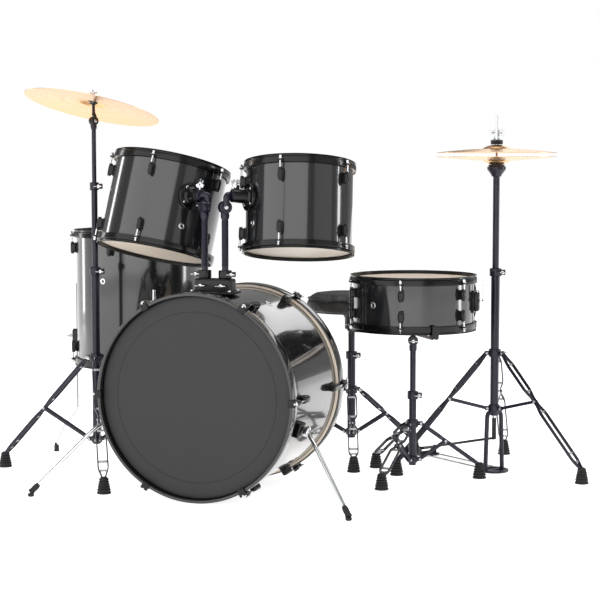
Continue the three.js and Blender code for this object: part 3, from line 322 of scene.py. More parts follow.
def bright_chrome():
    """Nickel-chrome plating on polished steel: a mirror with faint haze from handling."""
    made, tree, shader = new_finish("bright_chrome_plate", "d6d8da", 0.08, Metallic=1.0)
    space = add(tree, "ShaderNodeTexCoord").outputs["Object"]
    smear = add(tree, "ShaderNodeTexNoise", None, {"Vector": space, "Scale": 60.0, "Detail": 4.0})
    haze = add(tree, "ShaderNodeMapRange", None,
               {"Value": smear.outputs[0], "To Min": 0.05, "To Max": 0.17})
    tree.links.new(haze.outputs[0], shader.inputs["Roughness"])
    return made


wrap = drum_wrap()
enamel = gloss_black_paint()
chrome = bright_chrome()
ROOT = "kit_on_floor"
BASS_RADIUS = 0.2795
BASS_HALF = 0.203
BASS_WALL = 0.007
BASS_LUGS = 6
BASS_LUG_INSET = 0.074
bass_middle = (centre("bass_front_head") + centre("bass_rear_head")) / 2
# the drum's own Z points to its front head and its own Y up
bass_place = Matrix.Translation(bass_middle) @ Matrix.Rotation(pi / 2, 4, "X")


def shell_outline(radius, wall, half):
    """Section of a drum shell with its bearing edges cut at 45 degrees."""
    cut = 0.0035
    return [(radius - wall, cut - half), (radius - cut, -half), (radius, cut - half),
            (radius, half - cut), (radius - cut, half), (radius - wall, half - cut)]


shell = bmesh.new()
spin(shell, shell_outline(BASS_RADIUS, BASS_WALL, BASS_HALF), steps=180, closed=True)
made_piece("bass_shell", shell, wrap, ROOT, ["bass_shell"], place=bass_place)


def lug_body(bm, radius, z, deep, wide, high):
    """A cast bullet lug: a foot plate on the shell and a rounded body that ends in the rod's collar."""
    brick(bm, (0.004, wide * 0.8, high * 1.12), out(radius + 0.0015, 0, z), 0.0018)
    brick(bm, (deep, wide, high), out(radius + deep / 2, 0, z), wide * 0.42, 5)
    for side in (-1, 1):
        collar = out(radius + deep - 0.006, 0, z + side * high * 0.42)
        spin(bm, pill(0.0052, -0.006, 0.006, 0.0012), collar, 20)


lug = bmesh.new()
for side in (-1, 1):
    lug_body(lug, BASS_RADIUS, side * (BASS_HALF - BASS_LUG_INSET), 0.023, 0.021, 0.044)
made_piece("bass_lugs", repeated(lug, enamel, count=BASS_LUGS), enamel, ROOT,
           place=bass_place)
SPUR_BELOW = 17
SPUR_Z = 0.145 - 0.014
brackets = bmesh.new()
for angle in (-SPUR_BELOW, 180 + SPUR_BELOW):
    brick(brackets, (0.022, 0.042, 0.042), out(BASS_RADIUS + 0.008, angle, SPUR_Z), 0.005, 4)
    spin(brackets, pill(0.015, -0.004, 0.014, 0.003), across(out(BASS_RADIUS + 0.008, angle, SPUR_Z)), 32)
made_piece("spur_brackets", brackets, enamel, ROOT, place=bass_place)
vent = bmesh.new()
spin(vent, [(0.006, -0.002), (0.013, -0.002), *arc(0.011, 0.0002, 0.002, 0, 90), (0.008, 0.0022),
            *arc(0.008, 0.0002, 0.002, 90, 180)], across(out(BASS_RADIUS, 62, -0.02)), 40, True)
made_piece("bass_vent", vent, chrome, ROOT, place=bass_place)

# ---------------------------------------------------------------- bass drum heads
# Polyester film stretched over an aluminium flesh hoop: matt black in front, translucent cream behind.
# Each is clamped on the bearing edge by the hoop; the black one has a plain raised ring near its rim.


def drum_film(name, colour, roughness, spread):
    """Film with a sprayed, slightly gritty coat and uneven cloudy colour."""
    made, tree, shader = new_finish(name, colour, roughness)
    space = add(tree, "ShaderNodeTexCoord").outputs["Object"]
    cloud = add(tree, "ShaderNodeTexNoise", None, {"Vector": space, "Scale": 7.0, "Detail": 4.0})
    tone = add(tree, "ShaderNodeMapRange", None,
               {"Value": cloud.outputs[0], "To Min": 1 - spread, "To Max": 1 + spread})
    shade = add(tree, "ShaderNodeHueSaturation", None,
                {"Value": tone.outputs[0], "Color": linear(colour)})
    tree.links.new(shade.outputs[0], shader.inputs["Base Color"])
    grit = add(tree, "ShaderNodeTexNoise", None, {"Vector": space, "Scale": 900.0, "Detail": 1.0})
    add_bump(tree, shader, grit.outputs[0], 0.12, 0.0003)
    return made


cream_film = drum_film("translucent_cream_drum_film", "eadccb", 0.42, 0.06)
dark_film = drum_film("matt_black_drum_film", "252527", 0.6, 0.1)


def film_outline(radius, edge, rim, skirt):
    """Half section of a head: flat film, rounded over the edge, down into its flesh hoop."""
    top = edge + 0.0016
    return [(0, top - 0.0012), (radius - 0.006, top - 0.0008),
            *arc(radius - 0.004, top - 0.005, 0.005, 90, 0),
            (radius + 0.001, edge - skirt), (radius + rim, edge - skirt),
            (radius + rim, edge - skirt + 0.007),
            (radius + 0.003, edge - skirt + 0.008), (radius + 0.003, top - 0.003),
            *arc(radius - 0.003, top - 0.006, 0.006, 0, 90), (radius - 0.012, top), (0, top)]


def flip(side):
    """Turns a drum's upper end over for its lower end."""
    return Matrix.Identity(4) if side > 0 else Matrix.Rotation(pi, 4, "X")


for name, side, film in (("bass_front_head", 1, dark_film), ("bass_rear_head", -1, cream_film)):
    head = bmesh.new()
    spin(head, film_outline(BASS_RADIUS, BASS_HALF, 0.007, 0.026), flip(side), 180)
    spin(head, [(0.235, BASS_HALF + 0.001), *arc(0.237, BASS_HALF + 0.0014, 0.0012, 180, 0),
                (0.2385, BASS_HALF)],
         flip(side), 180, True)
    made_piece(name, head, film, ROOT, [name], place=bass_place)

# ---------------------------------------------------------------- bass drum hoops, claws and T-rods
# Laminated maple hoops in black lacquer, pulled onto the heads by six cast claws at each end. Each claw
# hooks over the hoop and is drawn back by a chrome rod with a T handle, screwed into its lug.
HOOP_OUTER = BASS_RADIUS + 0.0116
HOOP_WALL = 0.009
HOOP_PROUD = 0.020
HOOP_DEPTH = 0.038
CLAW_ROD = BASS_RADIUS + 0.019


def black_lacquer():
    """Polyester lacquer rubbed to a high gloss over laminated maple, the grain just filled."""
    made, tree, shader = new_finish("black_lacquered_maple", "0b0b0c", 0.14, Coat_Weight=0.8)
    space = add(tree, "ShaderNodeTexCoord").outputs["Object"]
    plies = add(tree, "ShaderNodeTexNoise", None, {"Vector": space, "Scale": 30.0, "Detail": 5.0})
    haze = add(tree, "ShaderNodeMapRange", None,
               {"Value": plies.outputs[0], "To Min": 0.1, "To Max": 0.22})
    tree.links.new(haze.outputs[0], shader.inputs["Roughness"])
    add_bump(tree, shader, plies.outputs[0], 0.05, 0.0006)
    return made


lacquer = black_lacquer()
for end, side in (("front", 1), ("rear", -1)):
    inner = HOOP_OUTER - HOOP_WALL
    low = BASS_HALF + HOOP_PROUD - HOOP_DEPTH
    high = BASS_HALF + HOOP_PROUD
    ease = 0.0025
    section = [*arc(inner + ease, low + ease, ease, 180, 270, 3),
               *arc(HOOP_OUTER - ease, low + ease, ease, 270, 360, 3),
               *arc(HOOP_OUTER - ease, high - ease, ease, 0, 90, 3),
               *arc(inner + ease, high - ease, ease, 90, 180, 3)]
    hoop = bmesh.new()
    spin(hoop, section, flip(side), 200, True)
    made_piece(f"bass_{end}_hoop", hoop, lacquer, ROOT, [f"bass_{end}_hoop"],
               place=bass_place)

    claw = bmesh.new()
    brick(claw, (0.019, 0.022, 0.0045), out(inner + 0.0085, 0, high + 0.0023), 0.0018, 3)
    brick(claw, (0.004, 0.020, 0.012), out(inner - 0.0018, 0, high - 0.002), 0.0015, 3)
    brick(claw, (0.006, 0.020, 0.030), out(HOOP_OUTER + 0.0035, 0, high - 0.012), 0.0025, 3)
    spin(claw, pill(0.0075, high - 0.036, high - 0.008, 0.0022), out(CLAW_ROD, 0), 28)
    made_piece(f"bass_{end}_claws", repeated(claw, enamel, flip(side), BASS_LUGS), enamel,
               ROOT,
               place=bass_place)

    t_rod = bmesh.new()
    spin(t_rod, pill(0.0028, BASS_HALF - BASS_LUG_INSET + 0.020, high + 0.006, 0.0008),
         out(CLAW_ROD, 0), 16)
    spin(t_rod, pill(0.0062, high - 0.009, high - 0.001, 0.0015), out(CLAW_ROD, 0), 24)
    handle = Matrix.Translation((CLAW_ROD, 0, high + 0.004)) @ Matrix.Rotation(pi / 2, 4, "X")
    if side < 0:
        spin(t_rod, pill(0.0034, -0.017, 0.017, 0.0015), handle, 16)
    made_piece(f"bass_{end}_rods", repeated(t_rod, chrome, flip(side), BASS_LUGS), chrome,
               ROOT,
               place=bass_place)

# ---------------------------------------------------------------- spurs
# Chrome steel rods on a round toothed boss, bent out and down to a rubber tip that grips the floor.


def sweep(bm, points, radius, place=Matrix(), sides=14):
    """A round bar along a line of points, with closed ends."""
    points = [Vector(p) for p in points]
    last = len(points) - 1
    normal = None
    rings = []
    for i, point in enumerate(points):
        tangent = (points[min(i + 1, last)] - points[max(i - 1, 0)]).normalized()
        if normal is None:
            normal = tangent.orthogonal().normalized()
        normal = (normal - tangent * normal.dot(tangent)).normalized()
        side = tangent.cross(normal)
        size = radius[i] if isinstance(radius, (list, tuple)) else radius
        rings.append([bm.verts.new(place @ (point + size * (normal * cos(tau * k / sides)
                                                            + side * sin(tau * k / sides))))
                      for k in range(sides)])
    for a, b in zip(rings, rings[1:]):
        for k in range(sides):
            bm.faces.new((a[k], a[(k + 1) % sides], b[(k + 1) % sides], b[k]))
    bm.faces.new(rings[0])
    bm.faces.new(reversed(rings[-1]))


def rounded(points, radius, steps=6):
    """A line of points with each corner rounded off."""
    points = [Vector(p) for p in points]
    line = [points[0]]
    for before, corner, after in zip(points, points[1:], points[2:]):
        a = corner + (before - corner).normalized() * min(radius, (before - corner).length * 0.45)
        b = corner + (after - corner).normalized() * min(radius, (after - corner).length * 0.45)
        line += [a.lerp(corner, t / steps).lerp(corner.lerp(b, t / steps),
                                                t / steps) for t in range(steps + 1)]
    return [*line, points[-1]]


def ring_of(r, degrees, z=0.0):
    return Vector((r * cos(radians(degrees)), r * sin(radians(degrees)), z))


def pointing(start, direction):
    """A place at a point with its Z along a direction."""
    return Matrix.Translation(start) @ Vector(direction).to_track_quat("Z", "Y").to_matrix().to_4x4()


def black_rubber():
    """Moulded natural rubber: matt, slightly dusty, paler on its worn edges."""
    made, tree, shader = new_finish("moulded_black_rubber", "17171a", 0.72)
    space = add(tree, "ShaderNodeTexCoord").outputs["Object"]
    dust = add(tree, "ShaderNodeTexNoise", None, {"Vector": space, "Scale": 90.0, "Detail": 5.0})
    tone = add(tree, "ShaderNodeMix", {"data_type": "RGBA"},
               {"Factor": dust.outputs[0], "A": linear("121214"), "B": linear("26262a")})
    tree.links.new(tone.outputs["Result"], shader.inputs["Base Color"])
    add_bump(tree, shader, dust.outputs[0], 0.2, 0.0005)
    return made


rubber = black_rubber()
for name, side in (("spur_left", -1), ("spur_right", 1)):
    joint = joints[f"{name}_fold"]
    hub = Vector(joint["pos_m"])
    foot = Vector((side * 0.165, -0.142, 0.020 - hub.z))
    knee = Vector((side * 0.034, -0.030, -0.024))
    spur = bmesh.new()
    spin(spur, [(0, -0.004), (0.013, -0.004), *arc(0.0145, 0.008, 0.0025, -90, 90), (0.006, 0.0115),
                (0.006, 0.0135), (0, 0.0135)],
         pointing(hub, (side, 0, 0)), 40)
    line = rounded([(side * 0.004, 0, 0), knee, foot], 0.02)
    sweep(spur, line, 0.0058, Matrix.Translation(hub), 18)
    made_piece(name, spur, chrome, name, [name])
    tip = bmesh.new()
    run = foot - knee
    spin(tip, [(0, 0.002), (0.0068, 0.002), (0.0085, 0.010), (0.0085, 0.022), (0.0074, 0.024),
               (0.0085, 0.026),
               (0.0096, 0.034), (0, 0.0355)], pointing(hub + foot - run.normalized() * 0.022, run), 28)
    spin(tip, pill(0.0088, 0.0005, 0.010, 0.003),
         at(hub.x + foot.x + side * 0.006, hub.y + foot.y - 0.005, 0), 24)
    made_piece(f"{name}_tip", tip, rubber, name)

# ---------------------------------------------------------------- small drums
# Two rack toms, the floor tom and the snare are made alike: wrapped shell, cast bullet lugs, film heads
# on aluminium flesh hoops, and triple-flanged steel hoops drawn down by square-headed tension rods.
ROD_OUT = 0.015
EAR_LOW = -0.0115


def hoop_outline(radius, edge):
    """Section of a triple-flanged hoop: skirt, shelf over the flesh hoop, wall, rolled rim."""
    gauge = 0.0023
    skirt = radius + 0.0067
    wall = radius + 0.0024
    shelf = edge + 0.0026
    return [(skirt, edge - 0.0118), (skirt + gauge, edge - 0.0118), *arc(skirt, shelf, gauge, 0, 90, 3),
            (wall + gauge + 0.001, shelf + gauge), (wall + gauge, shelf + gauge + 0.001),
            (wall + gauge, edge + 0.0088),
            (wall + gauge + 0.0026, edge + 0.0096),
            *arc(wall + gauge + 0.0026, edge + 0.0107, 0.0011, -90, 90, 4),
            (wall + 0.001, edge + 0.0118), (wall, edge + 0.0105), (wall, shelf), (skirt, shelf)]


def square_rod(bm, radius, edge, inset):
    """A tension rod: square key head, flanged collar under it, and the shank down to the lug."""
    axis = out(radius + ROD_OUT, 0)
    brick(bm, (0.0062, 0.0062, 0.0085), axis @ at(0, 0, edge + 0.0012, 20), 0.0008)
    spin(bm, pill(0.0056, edge - 0.005, edge - 0.0028, 0.0008), axis, 24)
    spin(bm, pill(0.0027, edge - inset + 0.014, edge - 0.002, 0.0006), axis, 14)


def small_drum(name, body, radius, depth, lugs, start, inset=0.046, lug_high=0.030):
    """One drum with its fittings, in place; returns the matrix of its own frame."""
    top, bottom = centre(f"{name}_top_head"), centre(f"{name}_bottom_head")
    turn = Vector((0, 0, 1)).rotation_difference(top - bottom)
    place = Matrix.Translation((top + bottom) / 2) @ turn.to_matrix().to_4x4()
    edge = depth / 2
    shell = bmesh.new()
    spin(shell, shell_outline(radius, BASS_WALL, edge), steps=144, closed=True)
    made_piece(f"{name}_shell", shell, wrap, body, [f"{name}_shell"], place=place)
    lug = bmesh.new()
    for side in (-1, 1):
        lug_body(lug, radius, side * (edge - inset), 0.0185, 0.015, lug_high)
    made_piece(f"{name}_lugs", repeated(lug, enamel, count=lugs, start=start), enamel, body,
               place=place)
    for end, side in (("top", 1), ("bottom", -1)):
        head = bmesh.new()
        spin(head, film_outline(radius, edge, 0.0058, 0.009), flip(side), 144)
        made_piece(f"{name}_{end}_head", head, cream_film, body,
                   [f"{name}_{end}_head"], place=place)
        hoop = bmesh.new()
        spin(hoop, hoop_outline(radius, edge), flip(side), 160, True)
        ear = bmesh.new()
        brick(ear, (0.0135, 0.017, 0.0042), out(radius + 0.0135, 0, edge + EAR_LOW + 0.0045), 0.002, 3)
        brick(ear, (0.004, 0.019, 0.012), out(radius + 0.0085, 0, edge + EAR_LOW + 0.006), 0.0018, 3)
        first = start if side > 0 else -start
        merge(hoop, repeated(ear, enamel, flip(side), lugs, first))
        made_piece(f"{name}_{end}_hoop", hoop, enamel, body,
                   [f"{name}_{end}_hoop"], place=place)
        rod = bmesh.new()
        square_rod(rod, radius, edge, inset)
        made_piece(f"{name}_{end}_rods", repeated(rod, chrome, flip(side), lugs, first), chrome,
                   body,
                   place=place)
    return place


def badge(name, body, place, radius, angle, z):
    """A plain chrome air-vent grommet pressed through the shell."""
    vent = bmesh.new()
    spin(vent, [(0.004, -0.002), (0.0095, -0.002), *arc(0.008, 0.0002, 0.0016, 0, 90), (0.0055, 0.0018),
                *arc(0.0055, 0.0002, 0.0015, 90, 180)], across(place @ out(radius, angle, z)), 32, True)
    made_piece(name, vent, chrome, body)


tom_places = {
    "right": small_drum("tom_right", "tom_right", 0.1525, 0.240, 5, -161.4),
    "left": small_drum("tom_left", "tom_left", 0.165, 0.254, 5, -156.8),
}
floor_place = small_drum("floor_tom", ROOT, 0.203, 0.406, 6, -151.8)
snare_place = small_drum("snare", "snare", 0.178, 0.140, 6, -85.5, inset=0.040, lug_high=0.026)
badge("tom_right_vent", "tom_right", tom_places["right"], 0.1525, -129, -0.055)
badge("tom_left_vent", "tom_left", tom_places["left"], 0.165, -44, -0.062)
badge("floor_tom_vent", ROOT, floor_place, 0.203, -100, 0.06)
badge("snare_vent", "snare", snare_place, 0.178, -115, 0)

# ---------------------------------------------------------------- tom mount, posts and arms
# A cast bracket on the bass drum clamps two ribbed steel posts. Each post carries a memory lock and ends in
# a toothed tilter; the arm's half of the tilter turns on a cross screw and the arm ends in the tom's socket.


def powder_coat(name, colour):
    """Baked black powder coat with a violet cast: satin, with a fine pebbled skin."""
    made, tree, shader = new_finish(name, colour, 0.34, Coat_Weight=0.15)
    shader.inputs["Specular IOR Level"].default_value = 0.35
    space = add(tree, "ShaderNodeTexCoord").outputs["Object"]
    pebble = add(tree, "ShaderNodeTexNoise", None, {"Vector": space, "Scale": 700.0, "Detail": 2.0})
    haze = add(tree, "ShaderNodeMapRange", None,
               {"Value": pebble.outputs[0], "To Min": 0.26, "To Max": 0.42})
    tree.links.new(haze.outputs[0], shader.inputs["Roughness"])
    add_bump(tree, shader, pebble.outputs[0], 0.15, 0.0003)
    return made


coat = powder_coat("violet_black_powder_coat", "151024")
cast = powder_coat("satin_black_cast_paint", "0b0b0d")


def zinc_steel():
    """Bright zinc on turned steel rivets and spacers, a little greyer and duller than chrome."""
    made, tree, shader = new_finish("zinc_plated_steel", "b4b6b9", 0.3, Metallic=1.0)
    space = add(tree, "ShaderNodeTexCoord").outputs["Object"]
    bloom = add(tree, "ShaderNodeTexNoise", None, {"Vector": space, "Scale": 500.0, "Detail": 3.0})
    haze = add(tree, "ShaderNodeMapRange", None,
               {"Value": bloom.outputs[0], "To Min": 0.22, "To Max": 0.42})
    tree.links.new(haze.outputs[0], shader.inputs["Roughness"])
    return made


zinc = zinc_steel()


def wing_bolt(bm, place, reach=0.014):
    """A wing bolt whose shank points back along the place's Z."""
    spin(bm, pill(0.0032, -0.010, 0.004, 0.0008), place, 16)
    spin(bm, pill(0.0055, 0.002, 0.009, 0.0015), place, 20)
    for side in (-1, 1):
        wing = place @ Matrix.Translation((side * reach * 0.55, 0, 0.0105)) @ Matrix.Rotation(side * 0.5,
                                                                                              4, "Y")
        brick(bm, (reach * 0.95, 0.0034, 0.0105), wing, 0.0016, 3)


low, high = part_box("tom_mount_bracket")
mount = bmesh.new()
middle = (low + high) / 2
spin(mount, [(0, low.z), (0.052, low.z), *arc(0.050, low.z + 0.006, 0.003, 0, 90), (0.036, low.z + 0.012),
             (0, low.z + 0.012)],
     Matrix.Translation((middle.x, middle.y, 0)), 60)
brick(mount, (0.130, 0.078, 0.009), at(middle.x, middle.y, low.z + 0.0045), 0.004, 3)
brick(mount, (0.112, 0.046, high.z - low.z - 0.001), at(middle.x, middle.y, middle.z), 0.009, 5)
for side in (-1, 1):
    spin(mount, pill(0.0205, low.z + 0.002, high.z, 0.003),
         Matrix.Translation((middle.x + side * 0.031, middle.y, 0)), 48)
made_piece("tom_mount_bracket", mount, cast, ROOT, ["tom_mount_bracket"])
mount_bolts = bmesh.new()
for side in (-1, 1):
    wing_bolt(mount_bolts, pointing((middle.x + side * 0.031, middle.y - 0.027, middle.z + 0.002),
                                    (0, -1, 0)))
    for y in (-0.032, 0.032):
        spin(mount_bolts, pill(0.005, low.z + 0.006, low.z + 0.0125, 0.0015),
             Matrix.Translation((middle.x + side * 0.056, middle.y + y, 0)), 20)
made_piece("tom_mount_bolts", mount_bolts, chrome, ROOT)

POST_RADIUS = 0.010
TILTER_RADIUS = 0.018
TILTER_HALF = 0.012
ARM_RADIUS = 0.0105
ARM_RISE = 0.035


def toothed_half(bm, hub, facing, inner=0.0003):
    """Half of a tilter: a dished disc whose inner face is toothed."""
    place = pointing(hub, facing)
    spin(bm, [(0, inner), (TILTER_RADIUS - 0.004, inner), (TILTER_RADIUS - 0.002, inner + 0.001),
              (TILTER_RADIUS, inner + 0.001), (TILTER_RADIUS, TILTER_HALF - 0.004),
              *arc(TILTER_RADIUS - 0.003, TILTER_HALF - 0.003, 0.003, 0, 90), (0.009, TILTER_HALF),
              (0.008, TILTER_HALF - 0.002),
              (0, TILTER_HALF - 0.002)], place, 48)
    tooth = bmesh.new()
    brick(tooth, (0.004, 0.0014, 0.0016), out(TILTER_RADIUS - 0.0012, 0, inner + 0.0012), 0.0004, 1)
    merge(bm, repeated(tooth, cast, place, 36))


for name, side, yaw, radius, offset in (
        ("right", 1, 43.8, 0.1525, 0.021), ("left", -1, 139.5, 0.165, 0.028)):
    hub = Vector(joints[f"tom_{name}_tilt"]["pos_m"])
    hinge = Vector((-sin(radians(yaw)), cos(radians(yaw)), 0))
    lock_low, lock_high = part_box(f"tom_memory_lock_{name}")
    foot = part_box(f"tom_post_{name}")[0].z
    axis = Matrix.Translation((hub.x, hub.y, 0))

    lock = bmesh.new()
    spin(lock, [(0.0106, lock_low.z + 0.001), *arc(0.017, lock_low.z + 0.002, 0.0018, -90, 0),
                *arc(0.017, lock_high.z - 0.002, 0.0018, 0, 90), (0.0106, lock_high.z - 0.001)], axis, 48,
         True)
    lug_at = Vector((hub.x + side * 0.023, hub.y, (lock_low.z + lock_high.z) / 2))
    brick(lock, (0.016, 0.012, 0.014), Matrix.Translation(lug_at), 0.003, 3)
    made_piece(f"tom_memory_lock_{name}", lock, cast, f"tom_lock_{name}",
               [f"tom_memory_lock_{name}"])
    lock_bolt = bmesh.new()
    wing_bolt(lock_bolt, pointing(lug_at + Vector((0, -0.006, 0)), (0, -1, 0)), 0.012)
    made_piece(f"tom_memory_lock_bolt_{name}", lock_bolt, chrome, f"tom_lock_{name}")

    post = bmesh.new()
    neck = hub.z - TILTER_RADIUS
    spin(post, pill(POST_RADIUS - 0.0008, foot, neck + 0.004, 0.002), axis, 40)
    rib = bmesh.new()
    spin(rib, [(0.0085, 0), (0.0093, 0), *arc(0.0092, 0.0014, 0.0009, -60, 60, 4), (0.0093, 0.0028),
               (0.0085, 0.0028)],
         axis @ Matrix.Translation((0, 0, lock_high.z + 0.012)), 32, True)
    merge(post, repeated(rib, coat, count=int((neck - lock_high.z - 0.030) / 0.0046), turn=0,
                         step=(0, 0, 0.0046)))
    sweep(post, [Vector((0, 0, neck - 0.014)), Vector((0, 0, neck - 0.004)),
                 hinge * 0.004 + Vector((0, 0, neck + 0.006))],
          [0.0115, 0.0125, 0.0105], axis, 28)
    toothed_half(post, hub, hinge)
    made_piece(f"tom_post_{name}", post, coat, f"tom_post_{name}", [f"tom_post_{name}"])

    tom_frame = tom_places[name]
    elbow = hub + Vector((0, 0, ARM_RISE))
    tip = tom_frame @ (ring_of(radius + 0.018, yaw + 180) + Vector((0, 0, offset)))
    arm = bmesh.new()
    toothed_half(arm, hub, -hinge)
    side_way = -hinge * (TILTER_HALF - 0.001)
    sweep(arm, rounded([hub + side_way + Vector((0, 0, 0.004)), hub + side_way + Vector((0, 0, ARM_RISE)),
                        elbow + (tip - elbow) * 0.35, tip], 0.020, 8), ARM_RADIUS - 0.0012, sides=24)
    collar = pointing(elbow.lerp(tip, 0.42), tip - elbow)
    spin(arm, pill(0.0158, -0.007, 0.007, 0.0022), collar, 40)
    made_piece(f"tom_arm_{name}", arm, coat, f"tom_arm_{name}", [f"tom_arm_{name}"])
    screws = bmesh.new()
    spin(screws, [(0, 0.009), (0.0062, 0.009), *arc(0.0050, 0.0118, 0.0012, 0, 90), (0.003, 0.013),
                  (0.0024, 0.0115),
                  (0, 0.0115)], pointing(hub, -hinge), 24)
    wing_bolt(screws, pointing(elbow.lerp(tip, 0.42) + Vector((0, 0, 0.017)), (0, 0, 1)), 0.011)
    made_piece(f"tom_tilter_screws_{name}", screws, chrome, f"tom_arm_{name}")

    receiver = bmesh.new()
    face = across(tom_frame @ out(radius, yaw + 180, offset))
    bore = ARM_RADIUS + 0.0010
    spin(receiver, [(bore, -0.003), (0.037, -0.003), (0.040, 0.001), *arc(0.037, 0.006, 0.003, 0, 90),
                    (0.026, 0.0095),
                    (0.0205, 0.014), (0.0195, 0.050), *arc(0.0175, 0.054, 0.002, 0, 90),
                    (bore + 0.001, 0.056),
                    (bore, 0.055)], face, 64, True)
    brick(receiver, (0.014, 0.014, 0.020), face @ at(-0.024, 0, 0.044), 0.004, 3)
    made_piece(f"tom_{name}_receiver", receiver, enamel, f"tom_{name}")
    fixings = bmesh.new()
    screw = bmesh.new()
    spin(screw, [(0, 0.006), (0.0045, 0.006), *arc(0.0028, 0.0095, 0.0017, 0, 90), (0, 0.0112)],
         out(0.030, 0), 18)
    merge(fixings, repeated(screw, chrome, face, 4, 45))
    wing_bolt(fixings, face @ Matrix.Translation((-0.030, 0, 0.044)) @ Matrix.Rotation(-pi / 2, 4, "Y"),
              0.014)
    made_piece(f"tom_{name}_receiver_screws", fixings, chrome, f"tom_{name}")

# ---------------------------------------------------------------- floor tom legs
# Three chrome rods, each held in a cast bracket by a wing bolt and bent outwards near the
# floor, down to a rubber foot.
floor_axis = Vector((floor_place.translation.x, floor_place.translation.y, 0))
FLOOR_LEG_ANGLES = (-174.8, -54.8, 65.2)
LEG_LINE = 0.203 + 0.019
LEG_FOOT = 0.203 + 0.093
brackets = bmesh.new()
bracket_bolts = bmesh.new()
for i, angle in enumerate(FLOOR_LEG_ANGLES, 1):
    body = f"floor_tom_leg_{i}"
    base = Matrix.Translation(floor_axis)
    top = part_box(body)[1].z
    leg = bmesh.new()
    sweep(leg, rounded([ring_of(LEG_LINE, angle, top), ring_of(LEG_LINE, angle, 0.130),
                        ring_of(LEG_LINE + 0.040, angle, 0.092), ring_of(LEG_FOOT, angle, 0.020)], 0.022,
                       8),
          0.0055, base, 20)
    made_piece(body, leg, chrome, body, [body])
    boot = bmesh.new()
    spin(boot, [(0, 0.0), (0.0080, 0.0), *arc(0.0072, 0.002, 0.0018, -60, 60), (0.0075, 0.008),
                (0.0086, 0.010),
                (0.0074, 0.012), (0.0084, 0.015), (0.0070, 0.020), (0.0064, 0.028), (0, 0.029)],
         base @ Matrix.Translation(ring_of(LEG_FOOT, angle)), 32)
    made_piece(f"{body}_foot", boot, rubber, body)
    spot = base @ out(0.203, angle, 0.380)
    brick(brackets, (0.004, 0.036, 0.062), spot @ at(0.002, 0, 0), 0.0018, 3)
    brick(brackets, (0.030, 0.026, 0.046), spot @ at(0.016, 0, 0), 0.009, 5)
    spin(brackets, pill(0.0115, -0.024, 0.024, 0.003), spot @ at(0.019, 0, 0), 36)
    wing_bolt(bracket_bolts, pointing(spot @ Vector((0.034, 0, 0)), spot.to_3x3() @ Vector((1, 0, 0))),
              0.013)
made_piece("floor_tom_brackets", brackets, enamel, ROOT)
made_piece("floor_tom_bracket_bolts", bracket_bolts, chrome, ROOT)

# ---------------------------------------------------------------- folding tripods
# Four stands share one make: a drawn steel tube, two sliding cast collars, and three legs. A leg is two
# pressed rails, pinched together where a rivet passes and spread between; two straps brace it.


def strap(bm, points, side, wide, thick, place=Matrix()):
    """A flat bar along a line of points, `thick` along the side direction, with eased edges."""
    ease = thick * 0.3
    half, deep = wide / 2, thick / 2
    section = [(half, deep - ease), (half - ease, deep), (ease - half, deep), (-half, deep - ease),
               (-half, ease - deep), (ease - half, -deep), (half - ease, -deep), (half, ease - deep)]
    points = [Vector(p) for p in points]
    last = len(points) - 1
    up = side.cross((points[-1] - points[0]).normalized()).normalized()
    rings = []
    for point in points:
        rings.append([bm.verts.new(place @ (point + up * a + side * b)) for a, b in section])
    for a, b in zip(rings, rings[1:]):
        for k in range(8):
            bm.faces.new((a[k], a[(k + 1) % 8], b[(k + 1) % 8], b[k]))
    bm.faces.new(rings[0])
    bm.faces.new(reversed(rings[last]))


def rivet(bm, spot, side, half, radius=0.0042):
    """A rivet through a leg, its two domed heads showing."""
    spin(bm, [(0, -half - 0.0024), *arc(radius - 0.0016, -half - 0.0008, 0.0016, -90, 0, 3),
              (radius, -half),
              (0.0026, -half), (0.0026, half), (radius, half),
              *arc(radius - 0.0016, half + 0.0008, 0.0016, 0, 90, 3),
              (0, half + 0.0024)], pointing(spot, side), 18)


PINCH, SPREAD = 0.0044, 0.0142
RAIL_WIDE, RAIL_THICK = 0.0100, 0.0036


def rail_offset(t, share):
    """How far a rail stands from the leg's middle, t along it: pinched at both ends and at the brace."""
    near = min(t / 0.12, abs(t - share) / 0.10 - 0.15, (1 - t) / 0.10)
    grow = min(max(near, 0.0), 1.0)
    return PINCH + (SPREAD - PINCH) * grow * grow * (3 - 2 * grow)


def clamp(bm, bolts, base, radius, low, high, angle=0):
    """A split clamp round a tube, closed by a wing bolt."""
    spin(bm, [(radius - 0.004, low), (radius - 0.001, low),
              *arc(radius - 0.0015, low + 0.002, 0.0015, -90, 0, 3),
              *arc(radius - 0.0015, high - 0.002, 0.0015, 0, 90, 3), (radius - 0.004, high)], base, 44,
         True)
    middle = (low + high) / 2
    ear = base @ out(radius + 0.004, angle, middle)
    for y in (-0.0038, 0.0038):
        brick(bm, (0.0155, 0.0036, high - low - 0.008), ear @ at(0, y, 0), 0.0014, 2)
    wing_bolt(bolts, ear @ Matrix.Translation((0.002, -0.0056, 0)) @ Matrix.Rotation(pi / 2, 4, "X"),
              0.012)


